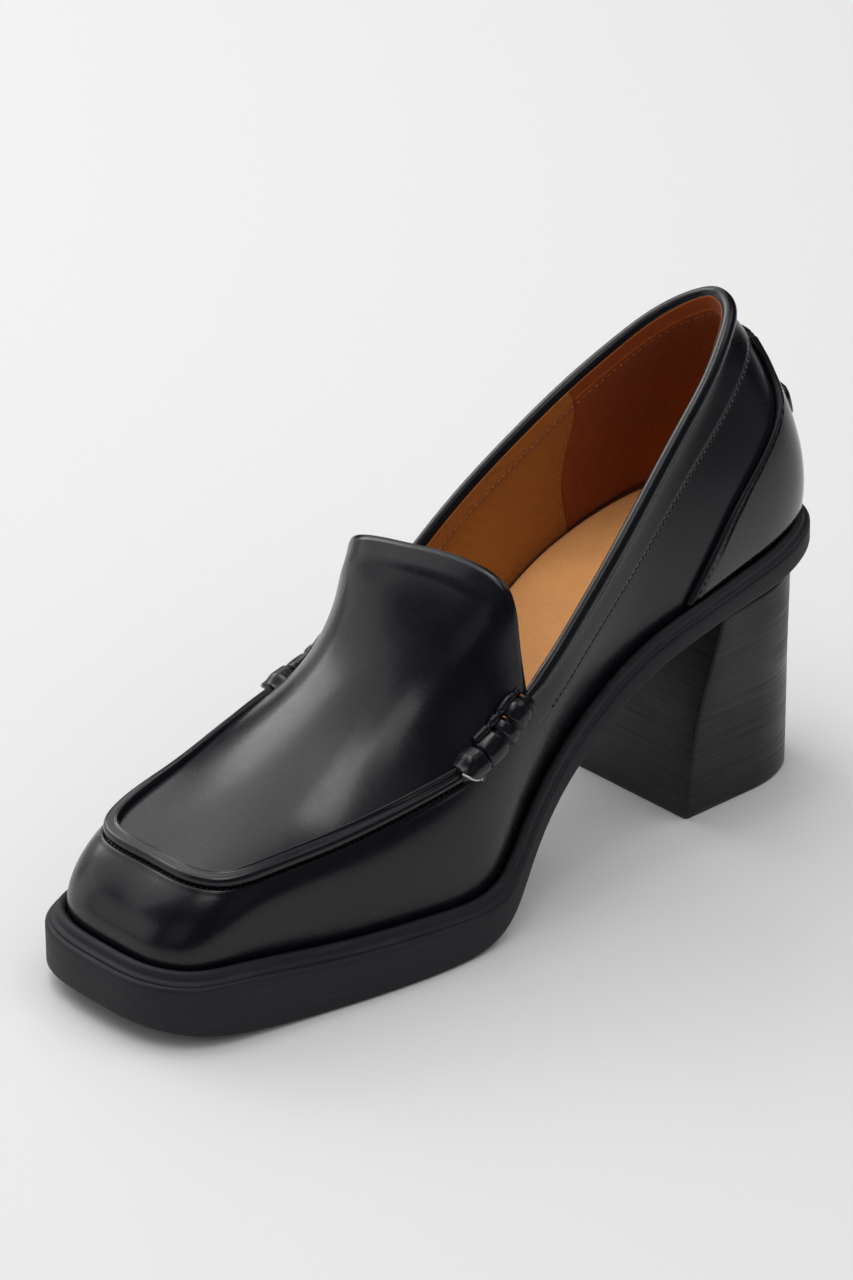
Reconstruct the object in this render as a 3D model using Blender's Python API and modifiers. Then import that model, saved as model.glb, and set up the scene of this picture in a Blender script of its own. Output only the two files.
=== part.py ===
"""Left loafer pump on a block heel: a sole, a heel and a hollow leather upper with its raised parts.

Metres, +Z up. X runs across the shoe with the wearer's outer side at +X, Y along it with the toe at -Y.
"Along" columns are shares of LENGTH from the toe, "across" columns are shares of BALL_WIDTH from the middle.
"""
import math

import bmesh
import bpy
import numpy as np

for old in list(bpy.data.objects):
    bpy.data.objects.remove(old, do_unlink=True)

# Driving sizes
LENGTH = 0.240
BALL_WIDTH = 0.0885
HEEL_HEIGHT = 0.0692
SOLE_THICKNESS = 0.0156
INSTEP_RISE = 0.0750
QUARTER_RISE = 0.0600
TOE_RISE = 0.0225

# Thicknesses and radii of the smaller parts
WALL = 0.0018
BEAD_RADIUS = 0.0014
ROLL_RADIUS = 0.0020
BINDING_RADIUS = 0.0020
SADDLE_RADIUS = 0.0036
COUNTER_THICKNESS = 0.0012
TAB_THICKNESS = 0.0020
INSOLE_THICKNESS = 0.0032
SOLE_CHAMFER = 0.0010
INSOLE_EASE = 0.0010
HEEL_CORNER = 0.0012

# Clearances between neighbours
GAP = 0.0003
SEAT = 0.0005
WELT_CLEARANCE = 0.0008
COUNTER_CLEARANCE = 0.0008
INSOLE_CLEARANCE = 0.0007
BINDING_CLEARANCE = 0.0001

# Sole outline, toe to heel: along, across
OUTLINE_LATERAL = (
    (0.0060, 0.174), (0.0400, 0.316), (0.1045, 0.381), (0.1890, 0.423), (0.2925, 0.471), (0.3795, 0.489),
    (0.4500, 0.468), (0.5100, 0.398), (0.5800, 0.347), (0.6700, 0.347), (0.7680, 0.375), (0.8540, 0.366),
    (0.9260, 0.345), (0.9870, 0.250),
)
OUTLINE_MEDIAL = (
    (0.0050, 0.198), (0.0320, 0.328), (0.0920, 0.401), (0.1750, 0.452), (0.2670, 0.497), (0.3400, 0.508),
    (0.4150, 0.477), (0.5000, 0.398), (0.5900, 0.338), (0.6880, 0.335), (0.7850, 0.354), (0.8600, 0.359),
    (0.9250, 0.325), (0.9790, 0.205),
)

# Sole, toe to heel: along, underside as a share of HEEL_HEIGHT, thickness as a share of SOLE_THICKNESS
SOLE_PROFILE = (
    (0.000, 0.077, 0.80), (0.083, 0.029, 1.00), (0.167, 0.005, 0.96), (0.240, 0.000, 0.88), (0.300, 0.000, 0.84),
    (0.360, 0.000, 0.79), (0.458, 0.072, 0.64), (0.542, 0.322, 0.50), (0.625, 0.563, 0.46), (0.708, 0.762, 0.42),
    (0.792, 0.866, 0.39), (0.896, 0.918, 0.45), (1.000, 1.000, 0.49),
)

TREAD_FRONT = 0.225
TREAD_BACK = 0.368

# Distance from the sole's edge in to the foot of the upper: along, share of BALL_WIDTH
FOOT_INSET = (
    (0.00, 0.077), (0.05, 0.068), (0.13, 0.079), (0.25, 0.079), (0.37, 0.073), (0.46, 0.059),
    (0.55, 0.049), (0.67, 0.048), (0.80, 0.049), (0.90, 0.051), (1.00, 0.061),
)

# Top edge of the wall: across, along, rise as a share of QUARTER_RISE, the share of the way round the foot line
# where its rib starts, flare of the rib at the foot and lean of the rib at the top in degrees
APRON_LATERAL = (
    (0.000, 0.0935, 0.376, 0.000, 11, 62), (0.140, 0.0945, 0.382, 0.052, 11, 62),
    (0.234, 0.1120, 0.393, 0.108, 12, 58), (0.284, 0.1600, 0.440, 0.168, 9, 50),
    (0.327, 0.2420, 0.505, 0.253, 5, 44), (0.366, 0.3330, 0.582, 0.345, 5, 36),
    (0.380, 0.3880, 0.633, 0.401, 5, 28), (0.383, 0.4210, 0.655, 0.436, 5, 23),
    (0.381, 0.4500, 0.668, 0.466, 5, 18), (0.376, 0.4790, 0.678, 0.494, 5, 14),
    (0.367, 0.5060, 0.690, 0.521, 5, 12),
)
COLLAR_LATERAL = (
    (0.354, 0.5500, 0.672, 0.563, 5, 10), (0.339, 0.6000, 0.676, 0.610, 5, 9),
    (0.316, 0.6600, 0.696, 0.668, 5, 10), (0.278, 0.7250, 0.750, 0.731, 5, 12),
    (0.237, 0.7870, 0.856, 0.792, 6, 17), (0.194, 0.8420, 0.962, 0.850, 8, 24),
    (0.134, 0.8900, 1.056, 0.907, 13, 33), (0.060, 0.9235, 1.098, 0.957, 17, 38),
    (-0.012, 0.9325, 1.104, 1.000, 18, 40),
)
APRON_MEDIAL = (
    (0.000, 0.0935, 0.376, 0.000, 11, 62), (0.142, 0.0920, 0.378, 0.052, 12, 62),
    (0.244, 0.1030, 0.383, 0.104, 13, 58), (0.304, 0.1480, 0.428, 0.158, 9, 50),
    (0.336, 0.2270, 0.500, 0.240, 5, 44), (0.372, 0.3170, 0.578, 0.331, 5, 36),
    (0.386, 0.3650, 0.622, 0.380, 5, 28), (0.392, 0.3980, 0.648, 0.413, 5, 23),
    (0.396, 0.4300, 0.662, 0.447, 5, 18), (0.396, 0.4600, 0.668, 0.477, 5, 14),
    (0.393, 0.4880, 0.672, 0.505, 5, 12),
)
COLLAR_MEDIAL = (
    (0.390, 0.5400, 0.628, 0.556, 5, 10), (0.374, 0.6000, 0.632, 0.613, 5, 9),
    (0.350, 0.6600, 0.654, 0.671, 5, 10), (0.312, 0.7250, 0.710, 0.734, 5, 12),
    (0.271, 0.7870, 0.814, 0.795, 6, 17), (0.228, 0.8420, 0.918, 0.852, 8, 24),
    (0.166, 0.8900, 1.020, 0.908, 13, 33), (0.086, 0.9235, 1.080, 0.957, 17, 38),
    (0.012, 0.9325, 1.104, 1.000, 18, 40),
)

# Free edge of the tongue, inner side to outer side: across, along, rise as a share of INSTEP_RISE
TONGUE_EDGE = (
    (-0.388, 0.492, 0.690), (-0.360, 0.488, 0.900), (-0.304, 0.484, 0.975), (-0.212, 0.487, 0.998),
    (-0.100, 0.492, 1.005), (0.008, 0.499, 1.000), (0.130, 0.506, 0.985), (0.235, 0.510, 0.955),
    (0.300, 0.511, 0.900), (0.335, 0.510, 0.740),
)

# How far the tongue's arch has grown on the way from the toe seam to the throat: share of the way, share of the arch
ARCH_GROWTH = (
    (0.00, 0.000), (0.12, 0.035), (0.25, 0.100), (0.40, 0.200), (0.55, 0.335), (0.70, 0.520), (0.85, 0.760),
    (1.00, 1.000),
)

# Heel block from the ground up: height share, breast along, half width across, back along
HEEL_FORM = (
    (0.00, 0.7785, 0.302, 0.9945), (0.14, 0.7792, 0.309, 0.9930), (0.33, 0.7815, 0.320, 0.9905),
    (0.50, 0.7865, 0.328, 0.9885), (0.66, 0.7950, 0.336, 0.9870), (0.83, 0.8075, 0.344, 0.9860),
    (1.00, 0.8200, 0.350, 0.9850),
)
HEEL_ROUND = 0.112
HEEL_SQUARENESS = 2.3

# Front seam of the counter from the foot up: share up the wall, share of the way round the foot line
COUNTER_SEAM = (
    (0.090, 0.734), (0.130, 0.740), (0.240, 0.762), (0.350, 0.791), (0.440, 0.822), (0.510, 0.860), (0.580, 0.908),
    (0.660, 0.938), (0.750, 0.954), (0.840, 0.962),
)

# Back tab: share up the wall at its foot and head, half width as a share of the way round
TAB_FOOT = 0.375
TAB_HEAD = 0.535
TAB_HALF = 0.047

# Mesh counts
SOLE_STEPS = 44
FRONT_RIBS = 9
SIDE_RIBS = 18
COLLAR_RIBS = 30
WALL_ROWS = 8


def spline(knots, values, at):
    """Natural cubic through values at the knots, read at the given places."""
    knots = np.asarray(knots, float)
    values = np.asarray(values, float).reshape(len(knots), -1)
    gap = np.diff(knots)
    slope = np.diff(values, axis=0) / gap[:, None]
    count = len(knots)
    matrix = np.eye(count)
    right = np.zeros_like(values)
    for i in range(1, count - 1):
        matrix[i, i - 1] = gap[i - 1]
        matrix[i, i] = 2 * (gap[i - 1] + gap[i])
        matrix[i, i + 1] = gap[i]
        right[i] = 6 * (slope[i] - slope[i - 1])
    bend = np.linalg.solve(matrix, right)
    at = np.clip(np.atleast_1d(np.asarray(at, float)), knots[0], knots[-1])
    k = np.clip(np.searchsorted(knots, at) - 1, 0, count - 2)
    h = gap[k][:, None]
    before = (at - knots[k])[:, None]
    after = h - before
    curve = (bend[k] * after**3 + bend[k + 1] * before**3) / (6 * h)
    line = (values[k] / h - bend[k] * h / 6) * after + (values[k + 1] / h - bend[k + 1] * h / 6) * before
    return curve + line


def chord_knots(points, power=0.6):
    """Knots spaced by the distance between points."""
    steps = np.linalg.norm(np.diff(points, axis=0), axis=1) ** power
    return np.r_[0.0, np.cumsum(steps)]


def lengths(points):
    """Share of the whole length at each point of a polyline."""
    run = np.r_[0.0, np.cumsum(np.linalg.norm(np.diff(points, axis=0), axis=1))]
    return run / run[-1]


def column(table, index, along):
    """One column of a table read as a smooth function of its first column."""
    rows = np.array(table)
    return spline(rows[:, 0], rows[:, index], along)[:, 0]


def underside(along):
    """Height of the sole's lower face, level over the tread."""
    along = np.asarray(along, float)
    rise = np.maximum(column(SOLE_PROFILE, 1, along), 0.0)
    return HEEL_HEIGHT * np.where((along > TREAD_FRONT) & (along < TREAD_BACK), 0.0, rise)


def deck(along):
    """Top of the sole, where the upper stands."""
    return underside(along) + SOLE_THICKNESS * column(SOLE_PROFILE, 2, along)


def above_deck(along, distance):
    """Height of a line that runs at a distance square to the sole's top."""
    step = 0.004
    slope = (deck(along + step) - deck(along - step)) / (2 * step * LENGTH)
    return deck(along) + distance * np.sqrt(1.0 + slope**2)


def to_along(y):
    return np.clip(np.asarray(y) / LENGTH + 0.5, 0.0, 1.0)


def closed_outline():
    """The sole's outline from the middle of the toe up the outer side and back down the inner one."""
    outer = [(across * BALL_WIDTH, (along - 0.5) * LENGTH) for along, across in OUTLINE_LATERAL]
    inner = [(-across * BALL_WIDTH, (along - 0.5) * LENGTH) for along, across in OUTLINE_MEDIAL]
    front = [(0.0, -0.5 * LENGTH)]
    back = [(0.0, 0.5 * LENGTH)]
    ring = np.array(front + outer + back + inner[::-1])
    count = len(ring)
    padded = np.vstack([ring[-6:], ring, ring[:7]])
    knots = chord_knots(padded)
    start, end = knots[6], knots[6 + count]
    middle = knots[6 + len(outer) + 1]
    up = spline(knots, padded, np.linspace(start, middle, 400))
    down = spline(knots, padded, np.linspace(end, middle, 400))
    return up, down


OUTER_LINE, INNER_LINE = closed_outline()
MIDDLE = 0.5 * (OUTER_LINE[:, 0].max() + INNER_LINE[:, 0].min())


def edge_line(side, inset):
    """One side of the outline, toe to heel, moved in by a distance that may vary along it."""
    line = (OUTER_LINE if side > 0 else INNER_LINE).copy()
    line[:, 0] -= MIDDLE
    step = np.gradient(line, axis=0)
    step[0] = (side, 0.0)
    step[-1] = (-side, 0.0)
    normal = np.stack([-step[:, 1], step[:, 0]], axis=1) * side
    normal /= np.linalg.norm(normal, axis=1)[:, None]
    distance = inset(to_along(line[:, 1])) if callable(inset) else inset
    moved = line + normal * np.reshape(distance, (-1, 1))
    moved[0, 0] = moved[-1, 0] = -MIDDLE
    return moved


def along_line(line, shares):
    """Points of a polyline at shares of its length."""
    where = lengths(line)
    return np.stack([np.interp(shares, where, line[:, i]) for i in range(line.shape[1])], axis=1)


def foot_inset(along):
    return BALL_WIDTH * column(FOOT_INSET, 1, along)


def even_shares(steps):
    return np.linspace(0.0, 1.0, steps + 1)


def sole_shares():
    """Steps round half the sole, closer together at the toe and heel corners."""
    line = edge_line(1, 0.0)
    step = np.gradient(line, axis=0)
    turn = np.abs(np.gradient(np.unwrap(np.arctan2(step[:, 1], step[:, 0]))))
    weight = np.linalg.norm(step, axis=1) / LENGTH + 0.22 * turn
    total = np.cumsum(weight) - weight[0]
    total /= total[-1]
    return np.interp(even_shares(SOLE_STEPS), total, lengths(line))


SHARES = sole_shares()


def ring_at(inset, height, shares=None):
    """A closed ring of points at an inset from the outline: outer side up, inner side back."""
    shares = SHARES if shares is None else shares
    outer = along_line(edge_line(1, inset), shares)
    inner = along_line(edge_line(-1, inset), shares)
    flat = np.vstack([outer, inner[-2:0:-1]])
    return np.column_stack([flat, height(to_along(flat[:, 1]))])


def collection(name):
    group = bpy.data.collections.new(name)
    bpy.context.scene.collection.children.link(group)
    return group


PARTS = collection("loafer_pump")
CUTTERS = collection("cutters")


def material(name, color, roughness, coat=0.0):
    made = bpy.data.materials.new(name)
    made.use_nodes = True
    shader = made.node_tree.nodes["Principled BSDF"]
    shader.inputs["Base Color"].default_value = (*color, 1.0)
    shader.inputs["Roughness"].default_value = roughness
    shader.inputs["Coat Weight"].default_value = coat
    made.diffuse_color = (*color, 1.0)
    return made


def mesh_object(name, points, faces, group=PARTS, look=None):
    """A mesh object from points and faces, its normals turned out."""
    data = bpy.data.meshes.new(name)
    data.from_pydata([tuple(map(float, p)) for p in points], [], faces)
    made = bpy.data.objects.new(name, data)
    group.objects.link(made)
    work = bmesh.new()
    work.from_mesh(data)
    bmesh.ops.remove_doubles(work, verts=work.verts, dist=0.00001)
    bmesh.ops.recalc_face_normals(work, faces=work.faces)
    work.to_mesh(data)
    work.free()
    if look is not None:
        data.materials.append(look)
    return made


def strips(ring, flip):
    """Faces that close a ring whose two halves mirror each other, from front to back."""
    count = len(ring)
    half = count // 2
    faces = [(ring[0], ring[1], ring[count - 1])]
    for i in range(1, half - 1):
        faces.append((ring[i], ring[i + 1], ring[count - i - 1], ring[count - i]))
    faces.append((ring[half - 1], ring[half], ring[half + 1]))
    return [face[::-1] for face in faces] if flip else faces


def loft(name, rings, look, group=PARTS):
    """A solid through closed rings of equal count, its two ends closed by strips."""
    count = len(rings[0])
    faces = []
    for level in range(len(rings) - 1):
        low, high = level * count, (level + 1) * count
        for i in range(count):
            j = (i + 1) % count
            faces.append((low + i, low + j, high + j, high + i))
    faces += strips(list(range(count)), True)
    faces += strips([(len(rings) - 1) * count + i for i in range(count)], False)
    return mesh_object(name, np.vstack(rings), faces, group, look)


def apply_modifier(made, kind, **settings):
    """Run one modifier and keep its result."""
    step = made.modifiers.new(kind.lower(), kind)
    for key, value in settings.items():
        setattr(step, key, value)
    result = bpy.data.meshes.new_from_object(made.evaluated_get(bpy.context.evaluated_depsgraph_get()))
    made.modifiers.clear()
    made.data = result
    return made


def cut(made, cutter):
    """Take the cutter out of a solid."""
    bpy.context.view_layer.update()
    return apply_modifier(made, "BOOLEAN", operation="DIFFERENCE", solver="EXACT", object=cutter)


def hide_cutter(made):
    made.hide_render = True
    made.display_type = "WIRE"
    return made


def keep_largest(made):
    """Drop the loose slivers that a cut leaves."""
    work = bmesh.new()
    work.from_mesh(made.data)
    left = set(work.verts)
    groups = []
    while left:
        stack = [left.pop()]
        group = {stack[0]}
        while stack:
            for link in stack.pop().link_edges:
                for vert in link.verts:
                    if vert in left:
                        left.discard(vert)
                        group.add(vert)
                        stack.append(vert)
        groups.append(group)
    best = max(groups, key=len)
    loose = [vert for group in groups if group is not best for vert in group]
    bmesh.ops.delete(work, geom=loose, context="VERTS")
    bmesh.ops.remove_doubles(work, verts=work.verts, dist=0.00002)
    work.to_mesh(made.data)
    work.free()
    return made


# Looks taken from the photo
BOX_LEATHER = material("box_leather", (0.013, 0.014, 0.018), 0.22, 0.4)
ROLL_LEATHER = material("roll_leather", (0.015, 0.016, 0.020), 0.28, 0.3)
BINDING_LEATHER = material("binding_leather", (0.017, 0.018, 0.022), 0.30, 0.3)
SADDLE_LEATHER = material("saddle_leather", (0.012, 0.013, 0.016), 0.30, 0.3)
SADDLE_LEATHER_INNER = material("saddle_leather_inner", (0.012, 0.013, 0.016), 0.30, 0.3)
COUNTER_LEATHER = material("counter_leather", (0.014, 0.015, 0.019), 0.24, 0.4)
TAB_LEATHER = material("tab_leather", (0.016, 0.016, 0.020), 0.30, 0.2)
SOLE_RUBBER = material("sole_rubber", (0.022, 0.023, 0.026), 0.62)
WELT_RUBBER = material("welt_rubber", (0.020, 0.021, 0.024), 0.55)
HEEL_STACK = material("heel_stack", (0.020, 0.020, 0.022), 0.50)
INSOLE_LEATHER = material("insole_leather", (0.540, 0.260, 0.105), 0.60)


def make_outsole():
    """The sole: a chamfered tread edge, an upright side and an eased top edge."""
    ease = SOLE_CHAMFER
    rings = [
        ring_at(ease, underside),
        ring_at(0.0, lambda along: underside(along) + ease),
        ring_at(0.0, lambda along: deck(along) - ease),
        ring_at(ease, deck),
    ]
    return loft("outsole", rings, SOLE_RUBBER)


def heel_section(breast, half_width, back):
    """Half of a D shape from the middle of the breast round to the middle of the back."""
    reach = HEEL_ROUND * LENGTH
    half = half_width * BALL_WIDTH
    start, end = (breast - 0.5) * LENGTH, (back - 0.5) * LENGTH
    centre = end - reach
    angles = np.linspace(0.0, math.pi / 2, 15)
    power = 2.0 / HEEL_SQUARENESS
    side = np.column_stack([half * np.cos(angles) ** power, centre + reach * np.sin(angles) ** power])
    front = np.array([
        (0.0, start), (half * 0.5, start), (half - HEEL_CORNER, start),
        (half, start + HEEL_CORNER), (half, 0.5 * (start + centre)),
    ])
    half_line = np.vstack([front, side])
    half_line[-1, 0] = 0.0
    return half_line


def make_heel():
    """The block heel: narrow at the ground, wider under the sole, its breast swept forward to the ground."""
    rings = []
    for share, breast, half_width, back in HEEL_FORM:
        outer = heel_section(breast, half_width, back)
        flat = np.vstack([outer, outer[-2:0:-1] * (-1.0, 1.0)])
        flat[:, 0] -= MIDDLE * 0.6
        top = underside(to_along(flat[:, 1])) - GAP
        rings.append(np.column_stack([flat, share * top]))
    return loft("heel", rings, HEEL_STACK)


# Feature lines of the upper


def top_line(side):
    """Ribs' upper ends on one side, toe to heel, with the columns that shape each rib."""
    apron = APRON_LATERAL if side > 0 else APRON_MEDIAL
    collar = COLLAR_LATERAL if side > 0 else COLLAR_MEDIAL
    rows = np.array(apron + collar)
    rise = rows[:, 2] * QUARTER_RISE
    rise[:2] += TOE_RISE - 0.376 * QUARTER_RISE
    x = side * rows[:, 0] * BALL_WIDTH
    y = (rows[:, 1] - 0.5) * LENGTH
    z = deck(rows[:, 1]) + rise
    full = np.column_stack([x, y, z, rows[:, 3:]])
    knots = chord_knots(full[:, :3], 0.8)
    corner, throat = knots[2], knots[len(apron) - 1]
    closing = 1.0 - (1.0 - even_shares(COLLAR_RIBS)[1:]) ** 1.35
    places = np.r_[
        np.linspace(0.0, corner, FRONT_RIBS + 1),
        np.linspace(corner, throat, SIDE_RIBS + 1)[1:],
        throat + (knots[-1] - throat) * closing,
    ]
    return mirrored_spline(knots, full, places, side)


def mirrored_spline(knots, rows, places, side):
    """A spline that crosses the shoe's middle square on at both ends."""
    mirror = np.ones(rows.shape[1])
    mirror[0] = -1.0
    front = rows[1:3][::-1] * mirror
    rear = rows[-3:-1][::-1] * mirror
    shift = 2 * rows[-1, 0]
    rear[:, 0] += shift
    front[:, 3] *= -1
    rear[:, 3] = 2 - rear[:, 3]
    padded = np.vstack([front, rows, rear])
    before = -knots[1:3][::-1]
    after = 2 * knots[-1] - knots[-3:-1][::-1]
    return spline(np.r_[before, knots, after], padded, places)


def plan_outward(points):
    """Level unit vectors square to a line, pointing away from the shoe."""
    step = np.gradient(points[:, :2], axis=0)
    side = np.sign(points[len(points) // 2, 0])
    step[0] = (side, 0.0)
    step[-1] = (-side, 0.0)
    out = np.stack([step[:, 1], -step[:, 0]], axis=1) * side
    out /= np.linalg.norm(out, axis=1)[:, None]
    return np.column_stack([out, np.zeros(len(out))])


def upright(points):
    """Unit vectors square to a line and as upright as they can be."""
    step = np.gradient(points, axis=0)
    level = np.cross(step, (0.0, 0.0, 1.0))
    rise = np.cross(level, step)
    return rise / np.linalg.norm(rise, axis=1)[:, None]


def wall_side(side):
    """Ribs of one side as an array of rib, row, point: foot line to apron seam or collar edge."""
    top = top_line(side)
    foot_flat = along_line(edge_line(side, foot_inset), np.clip(top[:, 3], 0.0, 1.0))
    foot = np.column_stack([foot_flat, deck(to_along(foot_flat[:, 1])) + SEAT])
    flare = np.radians(top[:, 4])[:, None]
    lean = np.radians(top[:, 5])[:, None]
    ends = top[:, :3].copy()
    ends[:, 0] -= MIDDLE
    collar_start = FRONT_RIBS + SIDE_RIBS
    drop = np.clip((np.arange(len(ends)) - collar_start + 1) / 2.0, 0.0, 1.0)[:, None]
    ends -= drop * upright(ends) * (2 * BINDING_RADIUS + GAP)
    out_foot, out_top = plan_outward(foot), plan_outward(ends)
    up = np.array([0.0, 0.0, 1.0])
    span = np.linalg.norm(ends - foot, axis=1)[:, None] * 0.36
    first = foot + span * (out_foot * np.sin(flare) + up * np.cos(flare))
    second = ends - span * (-out_top * np.sin(lean) + up * np.cos(lean))
    t = np.linspace(0.0, 1.0, WALL_ROWS + 1)[None, :, None]
    a, b, c, d = (p[:, None, :] for p in (foot, first, second, ends))
    return a * (1 - t)**3 + 3 * b * t * (1 - t)**2 + 3 * c * t**2 * (1 - t) + d * t**3


LATERAL_WALL = wall_side(1)
MEDIAL_WALL = wall_side(-1)


def tongue_edge(count):
    """Free edge of the tongue from the inner throat to the outer one."""
    rows = np.array(TONGUE_EDGE)
    x = rows[:, 0] * BALL_WIDTH - MIDDLE
    y = (rows[:, 1] - 0.5) * LENGTH
    z = deck(rows[:, 1]) + rows[:, 2] * INSTEP_RISE
    throat = FRONT_RIBS + SIDE_RIBS
    points = np.vstack([MEDIAL_WALL[throat, -1], np.column_stack([x, y, z]), LATERAL_WALL[throat, -1]])
    line = spline(chord_knots(points), points, np.linspace(0.0, chord_knots(points)[-1], 300))
    return along_line(line, even_shares(count))


def vamp_grid():
    """The apron and tongue as rows from the toe seam to the tongue's edge, inner side to outer side."""
    across = 2 * FRONT_RIBS
    throat = FRONT_RIBS + SIDE_RIBS
    inner = MEDIAL_WALL[FRONT_RIBS:throat + 1, -1]
    outer = LATERAL_WALL[FRONT_RIBS:throat + 1, -1]
    front = np.vstack([MEDIAL_WALL[FRONT_RIBS:0:-1, -1], LATERAL_WALL[:FRONT_RIBS + 1, -1]])
    back = tongue_edge(across)
    a = lengths(front)[:, None]
    b = lengths(back)[:, None]
    front_bow = front - (front[0] * (1 - a) + front[-1] * a)
    back_bow = back - (back[0] * (1 - b) + back[-1] * b)
    round_bow = np.zeros_like(back_bow)
    round_bow[:, 2] = back_bow[:, 2].max() * np.sin(math.pi * a[:, 0]) ** 0.85
    rows = []
    for i in range(SIDE_RIBS + 1):
        v = i / SIDE_RIBS
        growth = column(ARCH_GROWTH, 1, v)[0]
        blend = v**3
        share = a * (1 - blend) + b * blend
        ruled = inner[i] * (1 - share) + outer[i] * share
        bow = growth * (blend * back_bow + (1 - blend) * round_bow)
        rows.append(ruled + bow + front_bow * (1 - v)**1.5)
    return np.array(rows)


def upper_surface(name, group):
    """The wall and the vamp as one open surface."""
    rib_count, row_count = LATERAL_WALL.shape[:2]
    ring = np.concatenate([LATERAL_WALL, MEDIAL_WALL[-2:0:-1]])
    points = [p for rib in ring for p in rib]
    faces = []
    total = len(ring)
    for i in range(total):
        j = (i + 1) % total
        for k in range(row_count - 1):
            faces.append((i * row_count + k, j * row_count + k, j * row_count + k + 1, i * row_count + k + 1))
    grid = vamp_grid()
    base = len(points)
    points += [p for row in grid for p in row]
    width = grid.shape[1]
    for i in range(len(grid) - 1):
        for k in range(width - 1):
            p = base + i * width + k
            faces.append((p, p + 1, p + width + 1, p + width))
    made = mesh_object(name, points, faces, group)
    point_out(made)
    return made


def point_out(made):
    """Turn an open surface so that its lowest outer face points away from the shoe."""
    face = min(made.data.polygons, key=lambda f: f.center.y)
    if face.normal.y > 0:
        made.data.flip_normals()


def thicken(made, thickness, offset):
    return apply_modifier(
        made, "SOLIDIFY", thickness=thickness, offset=offset, use_even_offset=True, use_rim=True,
    )


def make_upper():
    made = upper_surface("upper", PARTS)
    thicken(made, WALL, -1.0)
    made.data.materials.append(BOX_LEATHER)
    return made


def make_upper_cutter():
    """The upper with the clearance added outside and more depth inside."""
    made = upper_surface("upper_cutter", CUTTERS)
    depth = 2 * ROLL_RADIUS
    thicken(made, depth + GAP, -1.0 + 2 * GAP / (depth + GAP))
    return hide_cutter(made)


def tube(name, points, radius, sides, look, closed=False, group=PARTS):
    """A round bar along a line, its radius given once or for every point."""
    points = np.asarray(points)
    count = len(points)
    radii = np.broadcast_to(np.asarray(radius, float), (count,))
    if closed:
        step = np.roll(points, -1, 0) - np.roll(points, 1, 0)
    else:
        step = np.gradient(points, axis=0)
    step /= np.linalg.norm(step, axis=1)[:, None]
    up = np.array([0.0, 0.0, 1.0])
    level = np.cross(step, up)
    level /= np.linalg.norm(level, axis=1)[:, None]
    rise = np.cross(level, step)
    angles = np.linspace(0.0, 2 * math.pi, sides, endpoint=False)
    rings = [
        p + r * (np.cos(angles)[:, None] * s + np.sin(angles)[:, None] * u)
        for p, r, s, u in zip(points, radii, level, rise)
    ]
    faces = []
    for i in range(count if closed else count - 1):
        j = (i + 1) % count
        for k in range(sides):
            m = (k + 1) % sides
            faces.append((i * sides + k, j * sides + k, j * sides + m, i * sides + m))
    if not closed:
        faces.append(tuple(range(sides)))
        faces.append(tuple((count - 1) * sides + k for k in range(sides))[::-1])
    return mesh_object(name, np.vstack(rings), faces, group, look)


def make_welt():
    """The bead that runs round the foot of the upper."""
    inset = lambda along: foot_inset(along) - BEAD_RADIUS - WELT_CLEARANCE
    ring = ring_at(inset, lambda along: above_deck(along, GAP + BEAD_RADIUS), even_shares(40))
    return tube("welt", ring, BEAD_RADIUS, 8, WELT_RUBBER, closed=True)


def make_insole():
    """The insole inside the wall, its top edge eased."""
    inset = lambda along: foot_inset(along) + WALL + INSOLE_CLEARANCE
    eased = lambda along: inset(along) + INSOLE_EASE
    rings = [
        ring_at(inset, lambda along: deck(along) + GAP),
        ring_at(inset, lambda along: deck(along) + GAP + INSOLE_THICKNESS - INSOLE_EASE),
        ring_at(eased, lambda along: deck(along) + GAP + INSOLE_THICKNESS),
    ]
    return loft("insole", rings, INSOLE_LEATHER)


def apron_line(extra):
    """The apron seam from the inner saddle round the toe to the outer one."""
    last = FRONT_RIBS + SIDE_RIBS - 6 + extra
    return np.vstack([MEDIAL_WALL[last:0:-1, -1], LATERAL_WALL[:last + 1, -1]])


def make_apron_roll(cutter):
    made = tube("apron_roll", apron_line(0), ROLL_RADIUS, 10, ROLL_LEATHER)
    return keep_largest(cut(made, cutter))


def saddle_line(wall):
    """The seam between the end of the apron roll and the throat."""
    throat = FRONT_RIBS + SIDE_RIBS
    line = wall[throat - 6:throat + 1, -1]
    return along_line(line, np.linspace(0.04, 0.97, 25))


def make_saddle(name, wall, look, cutter):
    """A rolled saddle with three bound coils, astride the seam at the throat."""
    points = saddle_line(wall)
    share = lengths(points)
    waves = 0.84 + 0.16 * np.abs(np.sin(math.pi * 3.5 * share))
    ends = np.clip(np.minimum(share, 1 - share) / 0.06, 0.55, 1.0)
    radii = SADDLE_RADIUS * waves * ends
    made = tube(name, points, radii, 10, look)
    return keep_largest(cut(made, cutter))


def make_binding():
    """The rolled binding along the collar from throat to throat."""
    throat = FRONT_RIBS + SIDE_RIBS
    line = np.vstack([LATERAL_WALL[throat + 1:, -1], MEDIAL_WALL[-2:throat:-1, -1]])
    line = line + upright(line) * (BINDING_RADIUS + GAP + BINDING_CLEARANCE)
    return tube("collar_binding", line, BINDING_RADIUS, 8, BINDING_LEATHER)


def wall_ring():
    """The whole wall from the outer throat round the heel to the inner throat."""
    return np.concatenate([LATERAL_WALL, MEDIAL_WALL[-2::-1]])


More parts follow.
